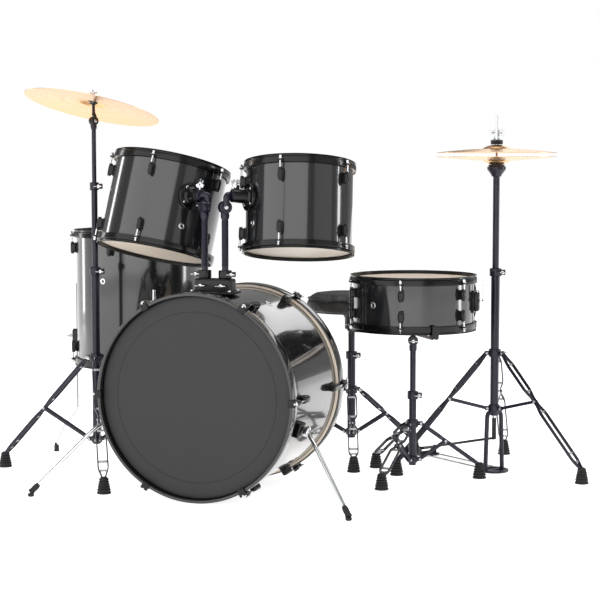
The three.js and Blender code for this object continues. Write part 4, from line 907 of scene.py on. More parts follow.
def tripod(name, x, y, tube, bottom, top, collar, brace, foot, angles, share):
    """The lower stage of a stand with its legs, boots and rivets."""
    base = Matrix.Translation((x, y, 0))
    frame_work, rivets, boots, bolts = bmesh.new(), bmesh.new(), bmesh.new(), bmesh.new()
    spin(frame_work, pill(tube, bottom, top - 0.001, 0.0015), base, 44)
    spin(frame_work, pill(tube + 0.0055, collar - 0.012, collar + 0.012, 0.002), base, 44)
    spin(frame_work, pill(tube + 0.0045, brace - 0.010, brace + 0.010, 0.002), base, 44)
    clamp(frame_work, bolts, base, tube + 0.005, top - 0.024, top)
    wing_bolt(bolts, pointing(base @ ring_of(tube + 0.010, angles[0] + 60, collar),
                              ring_of(1, angles[0] + 60)), 0.012)
    for angle in angles:
        side = ring_of(1, angle + 90)
        start, end = ring_of(tube + 0.014, angle, collar), ring_of(foot, angle, 0.040)
        middle = start.lerp(end, share)
        low = ring_of(tube + 0.011, angle, brace)
        steps = [k / 60 for k in range(61)]
        for hand in (-1, 1):
            rail = [start.lerp(end, t) + side * hand * rail_offset(t, share) for t in steps]
            strap(frame_work, rail, side, RAIL_WIDE, RAIL_THICK, base)
            flare = [low.lerp(middle, t) + side * hand * (0.0052 + 0.0014 * t) for t in (0, 0.5, 1)]
            strap(frame_work, flare, side, 0.0095, 0.0022, base)
        for height, radius in ((collar, tube + 0.011), (brace, tube + 0.009)):
            brick(frame_work, (0.016, 0.0066, 0.013), base @ out(radius, angle, height), 0.0016)
        for spot, half in ((start, 0.0052), (low, 0.0066), (middle, 0.0080),
                           (start.lerp(end, 0.93), 0.0062)):
            rivet(rivets, base @ spot, side, half)
        for t in (0.10, share - 0.09, share + 0.09, 0.86):
            half = rail_offset(t, share)
            spin(rivets, pill(0.0036, -half, half, 0.0004), pointing(base @ start.lerp(end, t), side), 16)
        ribs = [(0, 0.047), (0.0085, 0.047), (0.0105, 0.045)]
        for k in range(5):
            z = 0.040 - k * 0.0072
            r = 0.0128 + (0.0405 - z) * 0.19
            ribs += [(r, z + 0.0022), (r + 0.0012, z), (r, z - 0.0022), (r - 0.0018, z - 0.0036)]
        ribs += [(0.0200, 0.0040), (0.0206, 0.0015), (0.0195, 0.0), (0, 0.0)]
        spin(boots, list(reversed(ribs)), base @ out(foot, angle), 36)
    node = f"{name}_base"
    made_piece(node, frame_work, coat, ROOT, [node])
    made_piece(f"{name}_rivets", rivets, zinc, ROOT)
    made_piece(f"{name}_boots", boots, rubber, ROOT)
    made_piece(f"{name}_wing_bolts", bolts, chrome, ROOT)


CRASH_AT = Vector(joints["crash_tilt"]["pos_m"])
HIHAT_AT = centre("hihat_pull_rod")
SNARE_AT = Vector(joints["snare_tilt"]["pos_m"])
THRONE_AT = centre("throne_post")
tripod("crash_stand", x=CRASH_AT.x, y=CRASH_AT.y, tube=0.012, bottom=0.090, top=0.625, collar=0.353,
       brace=0.104, foot=0.315, angles=(180, 300, 60), share=0.52)
tripod("snare_stand", x=SNARE_AT.x, y=SNARE_AT.y, tube=0.011, bottom=0.040, top=0.262, collar=0.165,
       brace=0.058, foot=0.200, angles=(19.5, 139.5, 259.5), share=0.42)
tripod("hihat_stand", x=HIHAT_AT.x, y=HIHAT_AT.y, tube=0.0129, bottom=0.172, top=0.620, collar=0.363,
       brace=0.195, foot=0.305, angles=(-20, 96.5, 211), share=0.42)
tripod("throne", x=THRONE_AT.x, y=THRONE_AT.y, tube=0.013, bottom=0.066, top=0.342, collar=0.220,
       brace=0.085, foot=0.240, angles=(-70.5, 49.5, 169.5), share=0.48)

# ---------------------------------------------------------------- cymbals
# Rolled brass discs, spun into a bell and bow, then turned on a lathe, which leaves fine rings from the
# bell to the edge. The tool's pressure varies, so the rings band together and the sheen changes.


def turned_brass():
    """Lathed brass: warm pale metal whose rings are drawn about 1.5 mm apart so that they show."""
    made, tree, shader = new_finish("lathe_turned_brass", "ecbd88", 0.3, Metallic=1.0)
    radius = add(tree, "ShaderNodeAttribute", {"attribute_name": "turned_radius"}).outputs["Fac"]
    rings = add(tree, "ShaderNodeTexNoise", {"noise_dimensions": "1D"},
                {"W": radius, "Scale": 650.0, "Detail": 2.0})
    bands = add(tree, "ShaderNodeTexNoise", {"noise_dimensions": "1D"},
                {"W": radius, "Scale": 60.0, "Detail": 1.0})
    tint = add(tree, "ShaderNodeMix", {"data_type": "RGBA"},
               {"Factor": bands.outputs[0], "A": linear("dda56c"), "B": linear("f3cb98")})
    tree.links.new(tint.outputs["Result"], shader.inputs["Base Color"])
    haze = add(tree, "ShaderNodeMapRange", None,
               {"Value": rings.outputs[0], "To Min": 0.18, "To Max": 0.38})
    tree.links.new(haze.outputs[0], shader.inputs["Roughness"])
    add_bump(tree, shader, rings.outputs[0], 0.25, 0.0006)
    return made


brass = turned_brass()


def cymbal(name, body, radius, bell, place):
    """A cymbal whose own Z is its axis; the bell's hole is at its origin."""
    drop = 0.012 + radius * 0.06
    under = [(0.0072 + (bell - 0.0072) * k / 10, 0.0) for k in range(10)]
    under = [(r, -0.0115 * (r / bell) ** 2.4) for r, _ in under]
    for k in range(17):
        t = k / 16
        under.append((bell + (radius - bell) * t, -0.0118 - (drop - 0.0118) * t ** 1.35))
    over = [(r, z + 0.0014 - 0.0004 * r / radius) for r, z in reversed(under)]
    disc = bmesh.new()
    spin(disc, under + over, steps=192, closed=True)
    layer = disc.verts.layers.float.new("turned_radius")
    for vertex in disc.verts:
        vertex[layer] = vertex.co.xy.length
    made_piece(name, disc, brass, body, [name], place=place, sharp=50)


HIHAT_RADIUS = 0.179
bottom_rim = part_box("hihat_bottom_cymbal")[0].z
top_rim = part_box("hihat_top_cymbal")[1].z - 0.0016
crash_frame = pointing(joints["crash_spin"]["pos_m"], joints["crash_spin"]["axis"])
cymbal("crash_cymbal", "crash", 0.203, 0.044, crash_frame)
cymbal("hihat_top_cymbal", "hihat_clutch", HIHAT_RADIUS, 0.042,
       Matrix.Translation((HIHAT_AT.x, HIHAT_AT.y, top_rim)))
cymbal("hihat_bottom_cymbal", "hihat_upper", HIHAT_RADIUS, 0.042,
       Matrix.Translation((HIHAT_AT.x, HIHAT_AT.y, bottom_rim)) @ Matrix.Rotation(pi, 4, "X"))

# ---------------------------------------------------------------- crash stand's upper stages
# Two thinner tubes telescope out of the base. The top one ends in a toothed tilter whose other half
# carries the cymbal on a threaded rod between a cup washer, two felts, a sleeve and a wing nut.


def pressed_felt(name, dark, light):
    """Pressed wool felt: matt, with short loose fibres that mottle its colour."""
    made, tree, shader = new_finish(name, dark, 0.95, Sheen_Weight=0.4)
    space = add(tree, "ShaderNodeTexCoord").outputs["Object"]
    fibre = add(tree, "ShaderNodeTexNoise", None, {"Vector": space, "Scale": 900.0, "Detail": 4.0})
    tone = add(tree, "ShaderNodeMix", {"data_type": "RGBA"},
               {"Factor": fibre.outputs[0], "A": linear(dark), "B": linear(light)})
    tree.links.new(tone.outputs["Result"], shader.inputs["Base Color"])
    add_bump(tree, shader, fibre.outputs[0], 0.6, 0.001)
    return made


felt = pressed_felt("pale_wool_felt", "7d766d", "c4beb4")
black_felt = pressed_felt("black_wool_felt", "0d0d0f", "26262a")
crash_axis = Matrix.Translation((CRASH_AT.x, CRASH_AT.y, 0))
low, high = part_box("crash_stand_middle_tube")
middle_tube, middle_bolt = bmesh.new(), bmesh.new()
spin(middle_tube, pill(0.009, low.z, high.z - 0.001, 0.0015), crash_axis, 40)
clamp(middle_tube, middle_bolt, crash_axis, 0.0135, high.z - 0.024, high.z)
made_piece("crash_stand_middle_tube", middle_tube, coat, "crash_middle",
           ["crash_stand_middle_tube"])
made_piece("crash_stand_middle_bolt", middle_bolt, chrome, "crash_middle")

crash_hinge = Vector(joints["crash_tilt"]["axis"])


def small_half(bm, hub, facing, radius, deep):
    """Half of a small toothed tilter."""
    place = pointing(hub, facing)
    spin(bm, [(0, 0.0003), (radius - 0.0015, 0.0003), (radius, 0.0012), (radius, deep - 0.003),
              *arc(radius - 0.0025, deep - 0.0025, 0.0025, 0, 90), (0, deep)], place, 40)
    tooth = bmesh.new()
    brick(tooth, (0.003, 0.0011, 0.0012), out(radius - 0.0008, 0, 0.0014), 0.0003, 1)
    merge(bm, repeated(tooth, coat, place, 30))


upper_tube = bmesh.new()
low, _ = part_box("crash_stand_upper_tube")
spin(upper_tube, pill(0.0066, low.z, CRASH_AT.z - 0.012, 0.001), crash_axis, 36)
sweep(upper_tube, [Vector((0, 0, CRASH_AT.z - 0.024)), Vector((0, 0, CRASH_AT.z - 0.015)),
                   crash_hinge * 0.003 + Vector((0, 0, CRASH_AT.z - 0.008))],
      [0.0085, 0.0095, 0.0085], crash_axis, 24)
small_half(upper_tube, CRASH_AT, crash_hinge, 0.013, 0.009)
made_piece("crash_stand_upper_tube", upper_tube, coat, "crash_upper",
           ["crash_stand_upper_tube"])

tilter = bmesh.new()
small_half(tilter, CRASH_AT, -crash_hinge, 0.013, 0.009)
side_arm = -crash_hinge * 0.006
sweep(tilter, [CRASH_AT + side_arm, CRASH_AT + side_arm + Vector((0, 0, 0.012)),
               CRASH_AT + Vector((0, 0, 0.022))],
      [0.0062, 0.0062, 0.0058], sides=20)
on_tilter = Matrix.Translation(CRASH_AT)
spin(tilter, [(0, 0.020), (0.0058, 0.020), (0.0046, 0.024), (0.0044, 0.046), (0.0070, 0.048),
              (0.0128, 0.0505),
              (0.0134, 0.0530), (0.0125, 0.0540), (0, 0.0540)], on_tilter, 36)
made_piece("crash_tilter", tilter, cast, "crash_tilter", ["crash_tilter"])
threads = bmesh.new()
spin(threads, pill(0.0034, 0.050, 0.092, 0.0008), on_tilter, 18)
turns = [(0.0036, 0.072 + 0.0011 * k + dz) for k in range(17) for dz in (0, 0.0004)]
spin(threads, [(r + (0.0005 if i % 2 else 0), z) for i, (r, z) in enumerate(turns)] + [(0.003, 0.0905),
                                                                                       (0.003, 0.072)],
     on_tilter, 18, True)
wing_bolt(threads, on_tilter @ Matrix.Translation((0, 0, 0.077)), 0.013)
spin(threads, [(0, 0.009), (0.0048, 0.009), *arc(0.0038, 0.011, 0.001, 0, 90), (0, 0.012)],
     pointing(CRASH_AT, -crash_hinge), 20)
wing_bolt(threads, pointing(CRASH_AT + crash_hinge * 0.008, crash_hinge), 0.011)
made_piece("crash_tilter_rod", threads, chrome, "crash_tilter")
felts = bmesh.new()
for base, thick in ((-0.0072, 0.0068), (0.0022, 0.0080)):
    spin(felts, [(0.0052, base), *arc(0.0125, base + 0.0022, 0.002, -90, 0, 3),
                 *arc(0.0125, base + thick - 0.002, 0.002, 0, 90, 3), (0.0052, base + thick)],
         crash_frame, 32, True)
made_piece("crash_felts", felts, black_felt, "crash_tilter")

# ---------------------------------------------------------------- snare stand, basket and strainer
# The upper tube ends in a toothed joint for the basket. Three bent rod arms in rubber-tipped hooks clamp the
# drum's lower hoop; the throw-off on the shell draws the wires against the lower head.
snare_axis = Matrix.Translation((SNARE_AT.x, SNARE_AT.y, 0))
basket_hinge = Vector(joints["snare_tilt"]["axis"])
low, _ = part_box("snare_stand_upper_tube")
snare_tube = bmesh.new()
spin(snare_tube, pill(0.0088, low.z, SNARE_AT.z - 0.014, 0.001), snare_axis, 36)
sweep(snare_tube, [Vector((0, 0, SNARE_AT.z - 0.030)), Vector((0, 0, SNARE_AT.z - 0.018)),
                   basket_hinge * 0.004 + Vector((0, 0, SNARE_AT.z - 0.008))],
      [0.0108, 0.0118, 0.010], snare_axis, 28)
small_half(snare_tube, SNARE_AT, basket_hinge, 0.015, 0.011)
made_piece("snare_stand_upper_tube", snare_tube, coat, "snare_upper",
           ["snare_stand_upper_tube"])
tilt_bolt = bmesh.new()
wing_bolt(tilt_bolt, pointing(SNARE_AT + basket_hinge * 0.010, basket_hinge), 0.013)
made_piece("snare_tilt_bolt", tilt_bolt, chrome, "snare_upper")

hoop_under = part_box("snare_bottom_hoop")[0].z
basket = bmesh.new()
small_half(basket, SNARE_AT, -basket_hinge, 0.015, 0.012)
sweep(basket, [SNARE_AT - basket_hinge * 0.007,
               Vector((SNARE_AT.x, SNARE_AT.y, SNARE_AT.z + 0.010)) - basket_hinge * 0.005,
               Vector((SNARE_AT.x, SNARE_AT.y, hoop_under - 0.010))], [0.0072, 0.0070, 0.0065], sides=24)
spin(basket, pill(0.021, hoop_under - 0.016, hoop_under - 0.006, 0.003), snare_axis, 40)
pads = bmesh.new()
for angle in (-55.5, 64.5, 184.5):
    side = ring_of(1, angle + 90)
    for hand in (-1, 1):
        line = [ring_of(0.012, angle, hoop_under - 0.011) + side * hand * 0.004,
                ring_of(0.060, angle, hoop_under - 0.0115) + side * hand * 0.0065,
                ring_of(0.194, angle, hoop_under - 0.0105) + side * hand * 0.0065,
                ring_of(0.1955, angle, hoop_under + 0.020) + side * hand * 0.0060]
        sweep(basket, rounded(line, 0.008), 0.0029, snare_axis, 12)
    hook = snare_axis @ out(0, angle, hoop_under)
    brick(pads, (0.028, 0.019, 0.008), hook @ at(0.181, 0, -0.0050), 0.0025, 3)
    brick(pads, (0.0085, 0.019, 0.036), hook @ at(0.1950, 0, 0.0085), 0.003, 3)
    brick(pads, (0.0075, 0.017, 0.006), hook @ at(0.1920, 0, 0.0245), 0.002, 3)
made_piece("snare_basket", basket, coat, "snare", ["snare_basket"])
made_piece("snare_basket_pads", pads, rubber, "snare")

STRAINER = 4.5
strainer, strainer_trim = bmesh.new(), bmesh.new()
brick(strainer, (0.004, 0.034, 0.066), snare_place @ out(0.180, STRAINER, 0.004), 0.0018, 3)
brick(strainer, (0.016, 0.026, 0.056), snare_place @ out(0.188, STRAINER, 0.004), 0.006, 5)
brick(strainer, (0.012, 0.030, 0.034), snare_place @ out(0.184, STRAINER + 180, -0.012), 0.005, 4)
made_piece("snare_strainer", strainer, enamel, "snare")
spin(strainer_trim, pill(0.0058, 0.030, 0.037, 0.0018), snare_place @ out(0.190, STRAINER), 28)
for angle, z in ((STRAINER + 180, -0.004), (STRAINER + 180, -0.020), (STRAINER, -0.016)):
    spin(strainer_trim, pill(0.0036, 0.0, 0.004, 0.0014), across(snare_place @ out(0.1892, angle, z)), 18)
wire_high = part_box("snare_wires")[1]
for angle in (STRAINER, STRAINER + 180):
    brick(strainer_trim, (0.014, 0.038, 0.0012),
          snare_axis @ out(0.148, angle, wire_high.z - 0.0008), 0.0004, 1)
    strap(strainer_trim, [ring_of(0.150, angle, wire_high.z - 0.0014),
                          ring_of(0.170, angle, wire_high.z - 0.0016)],
          ring_of(1, angle + 90), 0.0007, 0.016, snare_axis)
made_piece("snare_strainer_trim", strainer_trim, chrome, "snare")
strand = bmesh.new()
coil = [(0.0008 * (1 + 0.25 * (k % 2)), -0.141 + 0.282 * k / 90) for k in range(91)]
spin(strand, [(0, -0.141), *coil, (0, 0.141)], across(at(0, -0.019, 0)), 8)
made_piece("snare_wires", repeated(strand, chrome,
                                   snare_axis @ at(0, 0, wire_high.z - 0.0022, STRAINER), 20, turn=0,
                                   step=(0, 0.002, 0)), chrome, "snare", ["snare_wires"])
lever_at = Vector(joints["snare_throw_off"]["pos_m"])
lever = bmesh.new()
lever_frame = Matrix.Translation(lever_at) @ Matrix.Rotation(radians(STRAINER), 4, "Z")
spin(lever, pill(0.0045, -0.0135, 0.0135, 0.0012), lever_frame @ Matrix.Rotation(pi / 2, 4, "X"), 24)
strap(lever, rounded([(0.0005, 0, 0.001), (0.0015, 0, 0.030), (0.0030, 0, 0.045)], 0.01),
      Vector((0, 1, 0)), 0.0042, 0.014,
      lever_frame)
made_piece("snare_throw_off_lever", lever, chrome, "snare_lever",
           ["snare_throw_off_lever"])

# ---------------------------------------------------------------- hi-hat stand
# Two round uprights carry the column from a curved base plate. A chain joins the footboard to the pull rod
# inside the tube; the rod's clutch holds the top cymbal between felts, over the cup with the bottom one.
HIHAT_YAW = 143
HEEL = 0.330
hihat_axis = Matrix.Translation((HIHAT_AT.x, HIHAT_AT.y, 0))
uprights, steel_rods = bmesh.new(), bmesh.new()
for side in (-1, 1):
    spots = [ring_of(side * 0.006, HIHAT_YAW + 90, 0.186), ring_of(side * 0.027, HIHAT_YAW + 90, 0.180),
             ring_of(side * 0.030, HIHAT_YAW + 90, 0.090), ring_of(side * 0.033, HIHAT_YAW + 90, 0.004)]
    sweep(uprights, rounded(spots, 0.016), 0.0068, hihat_axis, 18)
    rod_side = ring_of(side * 0.024, HIHAT_YAW + 90)
    sweep(steel_rods, [ring_of(0.030, HIHAT_YAW, 0.0075) + rod_side,
                       ring_of(HEEL - 0.008, HIHAT_YAW, 0.0062) + rod_side],
          0.0026, hihat_axis, 12)
    brick(uprights, (0.012, 0.005, 0.028),
          hihat_axis @ out(HEEL - 0.004, HIHAT_YAW, 0.018) @ at(0, side * 0.030, 0), 0.002, 3)
spin(uprights, [(0.026, 0.001), *arc(0.0435, 0.0025, 0.002, -90, 0, 3),
                *arc(0.0435, 0.0055, 0.002, 0, 90, 3), (0.026, 0.0075)],
     hihat_axis, 72, True)
brick(uprights, (0.014, 0.074, 0.006), hihat_axis @ out(0, HIHAT_YAW, 0.004), 0.0015)
brick(uprights, (0.056, 0.066, 0.009), hihat_axis @ out(HEEL + 0.002, HIHAT_YAW, 0.0050), 0.003, 3)
rib = bmesh.new()
brick(rib, (0.003, 0.050, 0.002), at(-0.020, 0, 0.0100), 0.0008, 1)
merge(uprights, repeated(rib, coat, hihat_axis @ out(HEEL + 0.002, HIHAT_YAW), 6, turn=0,
                         step=(0.0065, 0, 0)))
made_piece("hihat_stand_frame", uprights, coat, ROOT)
made_piece("hihat_radius_rods", steel_rods, zinc, ROOT)

low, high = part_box("hihat_stand_upper_tube")
cup = bmesh.new()
spin(cup, [(0.0052, low.z), *arc(0.0083, low.z + 0.0015, 0.0015, -90, 0, 3), (0.0098, high.z - 0.038),
           (0.0145, high.z - 0.036),
           (0.0160, high.z - 0.031), (0.0262, high.z - 0.0175),
           *arc(0.0262, high.z - 0.0150, 0.0014, -30, 0),
           *arc(0.0258, high.z - 0.0075, 0.0018, 0, 90), (0.0052, high.z - 0.0057)],
     hihat_axis, 48, True)
made_piece("hihat_stand_upper_tube", cup, coat, "hihat_upper", ["hihat_stand_upper_tube"])
seat_felt = bmesh.new()
spin(seat_felt, [(0.0065, high.z - 0.0057), *arc(0.0225, high.z - 0.0040, 0.0016, -90, 0, 3),
                 *arc(0.0225, high.z - 0.0017, 0.0016, 0, 90, 3), (0.0065, high.z - 0.0001)],
     hihat_axis, 48, True)
made_piece("hihat_seat_felt", seat_felt, black_felt, "hihat_upper")

low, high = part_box("hihat_pull_rod")
pull = bmesh.new()
spin(pull, pill(0.003, low.z + 0.042, high.z, 0.001), hihat_axis, 20)
spin(pull, pill(0.0062, low.z + 0.040, low.z + 0.052, 0.0015), hihat_axis, 28)
made_piece("hihat_pull_rod", pull, chrome, "hihat_rod", ["hihat_pull_rod"])


def chain_link(bm, place):
    """One pitch of roller chain: two side plates and a roller."""
    for x in (-0.0045, 0.0045):
        brick(bm, (0.0014, 0.0088, 0.0112), place @ at(x, 0, 0), 0.0005, 1)
    for z in (-0.0035, 0.0035):
        spin(bm, pill(0.0034, -0.0056, 0.0056, 0.0005), across(place @ at(0, 0, z)), 12)


link = bmesh.new()
chain_link(link, at(0, 0, 0))
chain = repeated(link, cast, hihat_axis @ at(0, 0, low.z - 0.020, HIHAT_YAW + 90), 9, turn=0,
                 step=(0, 0, 0.0074))
made_piece("hihat_chain", chain, cast, "hihat_rod")

clutch_axis = hihat_axis @ at(0, 0, top_rim)
clutch = bmesh.new()
spin(clutch, [(0.0042, 0.0165), (0.0105, 0.0165), (0.0115, 0.018), (0.0075, 0.021), (0.0072, 0.046),
              *arc(0.006, 0.0465, 0.001, 0, 90),
              (0.0042, 0.0475)], clutch_axis, 36, True)
spin(clutch, [(0.0042, -0.0118), *arc(0.010, -0.0105, 0.001, -90, 0, 3),
              *arc(0.010, -0.0088, 0.001, 0, 90, 3),
              (0.0055, -0.0078), (0.0055, 0.0165), (0.0042, 0.0165)], clutch_axis, 36, True)
wing_bolt(clutch, clutch_axis @ Matrix.Translation((0.008, 0, 0.040)) @ Matrix.Rotation(pi / 2, 4, "Y"),
          0.012)
wing_bolt(clutch, clutch_axis @ Matrix.Translation((-0.008, 0, 0.040)) @ Matrix.Rotation(-pi / 2, 4, "Y"),
          0.008)
made_piece("hihat_clutch", clutch, chrome, "hihat_clutch", ["hihat_clutch"])
clutch_felts = bmesh.new()
for base, thick, wide in ((-0.0072, 0.0060, 0.0105), (0.0022, 0.0135, 0.0170)):
    spin(clutch_felts, [(0.0060, base), *arc(wide, base + 0.0015, 0.0013, -90, 0, 3),
                        *arc(wide, base + thick - 0.0015, 0.0013, 0, 90, 3), (0.0060, base + thick)],
         clutch_axis, 32, True)
made_piece("hihat_clutch_felts", clutch_felts, black_felt, "hihat_clutch")


def pedal_board(name, body, place, length, heel, toe, rise):
    """A cast footboard hinged at its heel: flat deck, raised edge ribs and cross ribs for grip."""
    board = bmesh.new()
    slope = Matrix.Rotation(math_slope(rise, length), 4, "Y")
    outline = [(0.002, heel / 2), (-length * 0.66, heel / 2), (-length * 0.84, toe / 2 + 0.002),
               (-length * 0.97, toe / 2),
               (-length, toe / 2 - 0.005)]
    outline += [(x, -y) for x, y in reversed(outline)]
    deck = [[board.verts.new(place @ slope @ Vector((x, y, z))) for x,
             y in outline] for z in (-0.0034, 0.0022)]
    count = len(outline)
    board.faces.new(deck[0])
    board.faces.new(reversed(deck[1]))
    for k in range(count):
        board.faces.new((deck[0][k], deck[0][(k + 1) % count], deck[1][(k + 1) % count], deck[1][k]))
    bmesh.ops.bevel(board, geom=board.edges[:], offset=0.0012, segments=2, affect="EDGES", profile=0.6)
    for hand in (-1, 1):
        edge_line = [(x, hand * (y - 0.003), 0.0026) for x, y in outline[:4]]
        sweep(board, rounded(edge_line, 0.02), 0.0013, place @ slope, 10)
    ridge = bmesh.new()
    brick(ridge, (0.0032, toe * 0.72, 0.0022), at(-length * 0.90, 0, 0.0026), 0.0009, 1)
    merge(board, repeated(ridge, cast, place @ slope, int(length * 0.80 / 0.012), turn=0,
                          step=(0.012, 0, 0)))
    pin = place @ Matrix.Rotation(pi / 2, 4, "X")
    spin(board, pill(0.0046, -0.0235, 0.0235, 0.001), pin, 24)
    made_piece(name, board, cast, body, [name])


def math_slope(rise, length):
    """The angle whose tangent is rise over length."""
    return Vector((length, rise)).angle_signed(Vector((1, 0)))


hihat_hinge = Vector(joints["hihat_footboard_press"]["pos_m"])
pedal_board("hihat_footboard", "hihat_footboard",
            Matrix.Translation(hihat_hinge) @ Matrix.Rotation(radians(HIHAT_YAW), 4, "Z"),
            HEEL - 0.014, 0.054, 0.038, 0.074)

# ---------------------------------------------------------------- throne
# A round foam cushion in black grained vinyl on a plywood board, with a welt round its top edge. A pressed
# bracket under the board turns on the post, which telescopes in the tripod's tube.


def grained_vinyl():
    """Embossed PVC upholstery: small leather grain, semi-matt, greyer where it catches the light."""
    made, tree, shader = new_finish("grained_black_vinyl", "18181a", 0.46)
    space = add(tree, "ShaderNodeTexCoord").outputs["Object"]
    grain = add(tree, "ShaderNodeTexVoronoi", None, {"Vector": space, "Scale": 620.0})
    worn = add(tree, "ShaderNodeTexNoise", None, {"Vector": space, "Scale": 14.0, "Detail": 3.0})
    tone = add(tree, "ShaderNodeMix", {"data_type": "RGBA"},
               {"Factor": worn.outputs[0], "A": linear("131315"), "B": linear("2b2b2e")})
    tree.links.new(tone.outputs["Result"], shader.inputs["Base Color"])
    haze = add(tree, "ShaderNodeMapRange", None,
               {"Value": worn.outputs[0], "To Min": 0.38, "To Max": 0.56})
    tree.links.new(haze.outputs[0], shader.inputs["Roughness"])
    add_bump(tree, shader, grain.outputs["Distance"], 0.35, 0.0006)
    return made


vinyl = grained_vinyl()
SEAT_DEEP = 0.062
SEAT_VOXEL = 0.005
SWELL_CAP = 0.009
seat_at = Vector(joints["throne_seat_spin"]["pos_m"])
seat_base = Matrix.Translation(seat_at)
seat = bmesh.new()
spin(seat, [(0, 0.004), (0.120, 0.004), *arc(0.129, 0.017, 0.013, -90, 0), (0.1435, 0.038),
            *arc(0.130, 0.039, 0.0115, 0, 80),
            (0.08, 0.0525), (0, 0.0535)], steps=96)
bmesh.ops.recalc_face_normals(seat, faces=seat.faces)
seat_mesh = bpy.data.meshes.new("throne_cushion")
seat.to_mesh(seat_mesh)
seat.free()
cushion = bpy.data.objects.new("throne_cushion", seat_mesh)
bpy.context.scene.collection.objects.link(cushion)


def apply_modifiers(piece):
    """Replaces a piece's mesh with the mesh that its modifiers give."""
    made = bpy.data.meshes.new_from_object(piece.evaluated_get(bpy.context.evaluated_depsgraph_get()))
    piece.modifiers.clear()
    old, piece.data = piece.data, made
    bpy.data.meshes.remove(old)


remesh = cushion.modifiers.new("voxels", "REMESH")
remesh.mode = "VOXEL"
remesh.voxel_size = SEAT_VOXEL
apply_modifiers(cushion)
rest = [v.co.copy() for v in cushion.data.vertices]
held = cushion.vertex_groups.new(name="held")
held.add([i for i, co in enumerate(rest) if co.z < 0.008], 1.0, "REPLACE")
cloth = cushion.modifiers.new("stuffing", "CLOTH")
cloth.settings.vertex_group_mass = "held"
cloth.settings.use_pressure = True
cloth.settings.uniform_pressure_force = 4
cloth.settings.effector_weights.gravity = 0
cloth.settings.quality = 5
for step in range(1, 21):
    bpy.context.scene.frame_set(step)
apply_modifiers(cushion)
for vertex, start in zip(cushion.data.vertices, rest):
    move = vertex.co - start
    if move.length > SWELL_CAP:
        vertex.co = start + move.normalized() * SWELL_CAP
bpy.context.scene.frame_set(1)
smooth = cushion.modifiers.new("smooth", "SUBSURF")
smooth.levels = smooth.render_levels = 1
apply_modifiers(cushion)
for vertex in cushion.data.vertices:
    vertex.co.z = min(max(vertex.co.z, 0.0032), SEAT_DEEP)
    # the welt draws the cover in where the top panel meets the side band
    groove = max(0.0, 1 - abs(vertex.co.z - 0.044) / 0.006) if vertex.co.xy.length > 0.12 else 0
    vertex.co.xy *= 1 - 0.012 * groove
cushion.data.transform(seat_base)
cushion.data.shade_smooth()
cushion.data.materials.clear()
cushion.data.materials.append(vinyl)
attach(cushion, "throne_seat")
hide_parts("throne_seat")
lip = max((v.co - seat_at).xy.length for v in cushion.data.vertices
          if abs(v.co.z - seat_at.z - 0.044) < 0.004)
welt = bmesh.new()
spin(welt, arc(lip - 0.0002, 0.0438, 0.0022, 0, 330, 11), seat_base, 160, True)
stitch = bmesh.new()
brick(stitch, (0.0012, 0.0034, 0.0009), out(lip - 0.0008, 0, 0.0388), 0.0003, 1)
merge(welt, repeated(stitch, vinyl, seat_base, 150))
made_piece("throne_welt", welt, vinyl, "throne_seat")
under = bmesh.new()
spin(under, [(0, 0.0005), (0.126, 0.0005), *arc(0.127, 0.0025, 0.002, -90, 90, 4), (0, 0.0050)],
     seat_base, 96)
brick(under, (0.110, 0.110, 0.004), seat_base @ at(0, 0, -0.0015, 20), 0.0018)
spin(under, [(0.0128, -0.055), *arc(0.020, -0.053, 0.002, -90, 0, 3), (0.022, -0.020), (0.030, -0.006),
             (0.048, -0.003),
             (0.048, -0.001), (0.0128, -0.001)], seat_base, 48, True)
made_piece("throne_seat_bracket", under, coat, "throne_seat")
seat_bolt = bmesh.new()
wing_bolt(seat_bolt, pointing(seat_at + Vector((0.006, -0.021, -0.038)), (0.25, -1, 0)), 0.014)
screw = bmesh.new()
spin(screw, pill(0.0042, -0.0062, -0.003, 0.0012), out(0.062, 0), 16)
merge(seat_bolt, repeated(screw, chrome, seat_base, 4, 65))
made_piece("throne_seat_bolts", seat_bolt, chrome, "throne_seat")
low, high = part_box("throne_post")
post = bmesh.new()
spin(post, pill(0.0105, low.z, high.z, 0.001), Matrix.Translation((THRONE_AT.x, THRONE_AT.y, 0)), 40)
made_piece("throne_post", post, coat, "throne_post", ["throne_post"])

# ---------------------------------------------------------------- bass drum pedal
# Two cast posts on a footplate hold a hexagonal axle. The footboard's chain turns the cam on it and throws
# the felt beater at the rear head; a coil spring at one side draws it back.
axle = Vector(joints["pedal_beater_swing"]["pos_m"])
pedal_base = Matrix.Translation((axle.x, axle.y, 0))
pedal, pedal_steel = bmesh.new(), bmesh.new()
for side in (-1, 1):
    brick(pedal, (0.0095, 0.026, 0.150), pedal_base @ at(side * 0.042, 0, 0.087), 0.003, 3)
    spin(pedal, [(0.0068, -0.0058), *arc(0.0135, -0.004, 0.0018, -90, 0, 3),
                 *arc(0.0135, 0.004, 0.0018, 0, 90, 3), (0.0068, 0.0058)],
         across(pedal_base @ at(side * 0.042, 0, axle.z)), 36, True)
    brick(pedal, (0.006, 0.012, 0.026), pedal_base @ at(side * 0.037, 0.294, 0.015), 0.002, 3)
    sweep(pedal_steel, [(side * 0.027, 0.012, 0.0055), (side * 0.027, 0.286, 0.0055)],
          0.003, pedal_base, 12)
brick(pedal, (0.094, 0.036, 0.012), pedal_base @ at(0, 0.002, 0.0062), 0.004, 3)
brick(pedal, (0.084, 0.056, 0.0095), pedal_base @ at(0, 0.300, 0.0050), 0.003, 3)
rib = bmesh.new()
brick(rib, (0.060, 0.003, 0.002), at(0, 0.278, 0.0102), 0.0008, 1)
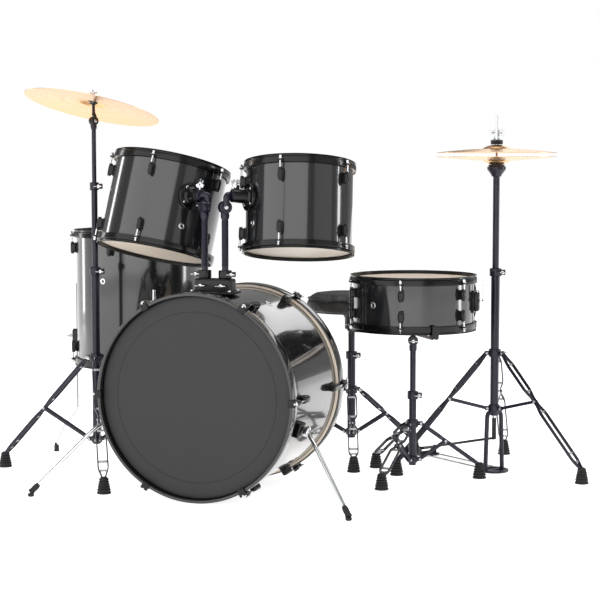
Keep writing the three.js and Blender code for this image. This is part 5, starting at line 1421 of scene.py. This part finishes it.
merge(pedal, repeated(rib, cast, pedal_base, 6, turn=0, step=(0, 0.0072, 0)))
made_piece("pedal_frame", pedal, cast, ROOT, ["pedal_frame"])
spring_turns = [Vector((-0.047 + 0.0052 * cos(k * 0.7) - 0.004, 0.0052 * sin(k * 0.7),
                        0.060 + 0.00052 * k)) for k in range(150)]
sweep(pedal_steel, spring_turns, 0.0008, pedal_base, 8)
made_piece("pedal_rods_and_spring", pedal_steel, zinc, ROOT)

beater = bmesh.new()
turn = across(Matrix.Translation(axle))
spin(beater, pill(0.0050, -0.050, 0.050, 0.001), turn, 6)
spin(beater, [(0.0049, -0.013), (0.0115, -0.013), (0.0120, -0.006), (0.0135, -0.005), (0.0135, 0.005),
              (0.0120, 0.006),
              (0.0115, 0.013), (0.0049, 0.013)], turn, 36, True)
shaft_top = Vector((0, 0.040, 0.180))
sweep(beater, [Vector((0, 0, 0.006)), shaft_top], 0.0036, Matrix.Translation(axle), 18)
brick(beater, (0.014, 0.014, 0.016), Matrix.Translation(axle) @ at(0, 0.001, 0.012), 0.002, 3)
made_piece("pedal_beater", beater, chrome, "pedal_beater", ["pedal_beater"])
beater_head = bmesh.new()
blow = Vector((0, 0.012 - 0.058, 0.186 - 0.172)).normalized()
spin(beater_head, [(0, -0.023), (0.017, -0.023), *arc(0.0185, -0.0205, 0.0024, -90, 0),
                   *arc(0.0170, 0.0185, 0.0040, 0, 90),
                   (0.008, 0.0232), (0, 0.0236)], pointing(axle + Vector((0, 0.035, 0.179)), blow), 44)
made_piece("pedal_beater_felt", beater_head, felt, "pedal_beater")
pedal_hinge = Vector(joints["pedal_footboard_press"]["pos_m"])
pedal_board("pedal_footboard", "pedal_footboard",
            Matrix.Translation(pedal_hinge) @ Matrix.Rotation(pi / 2, 4, "Z"),
            0.262, 0.062, 0.050, 0.096)
link = bmesh.new()
chain_link(link, at(0, 0, 0))
made_piece("pedal_chain", repeated(link, zinc, pedal_base @ at(0, 0.0245, 0.126), 7, turn=0,
                                   step=(0, -0.0010, 0.0074)), zinc,
           "pedal_footboard")
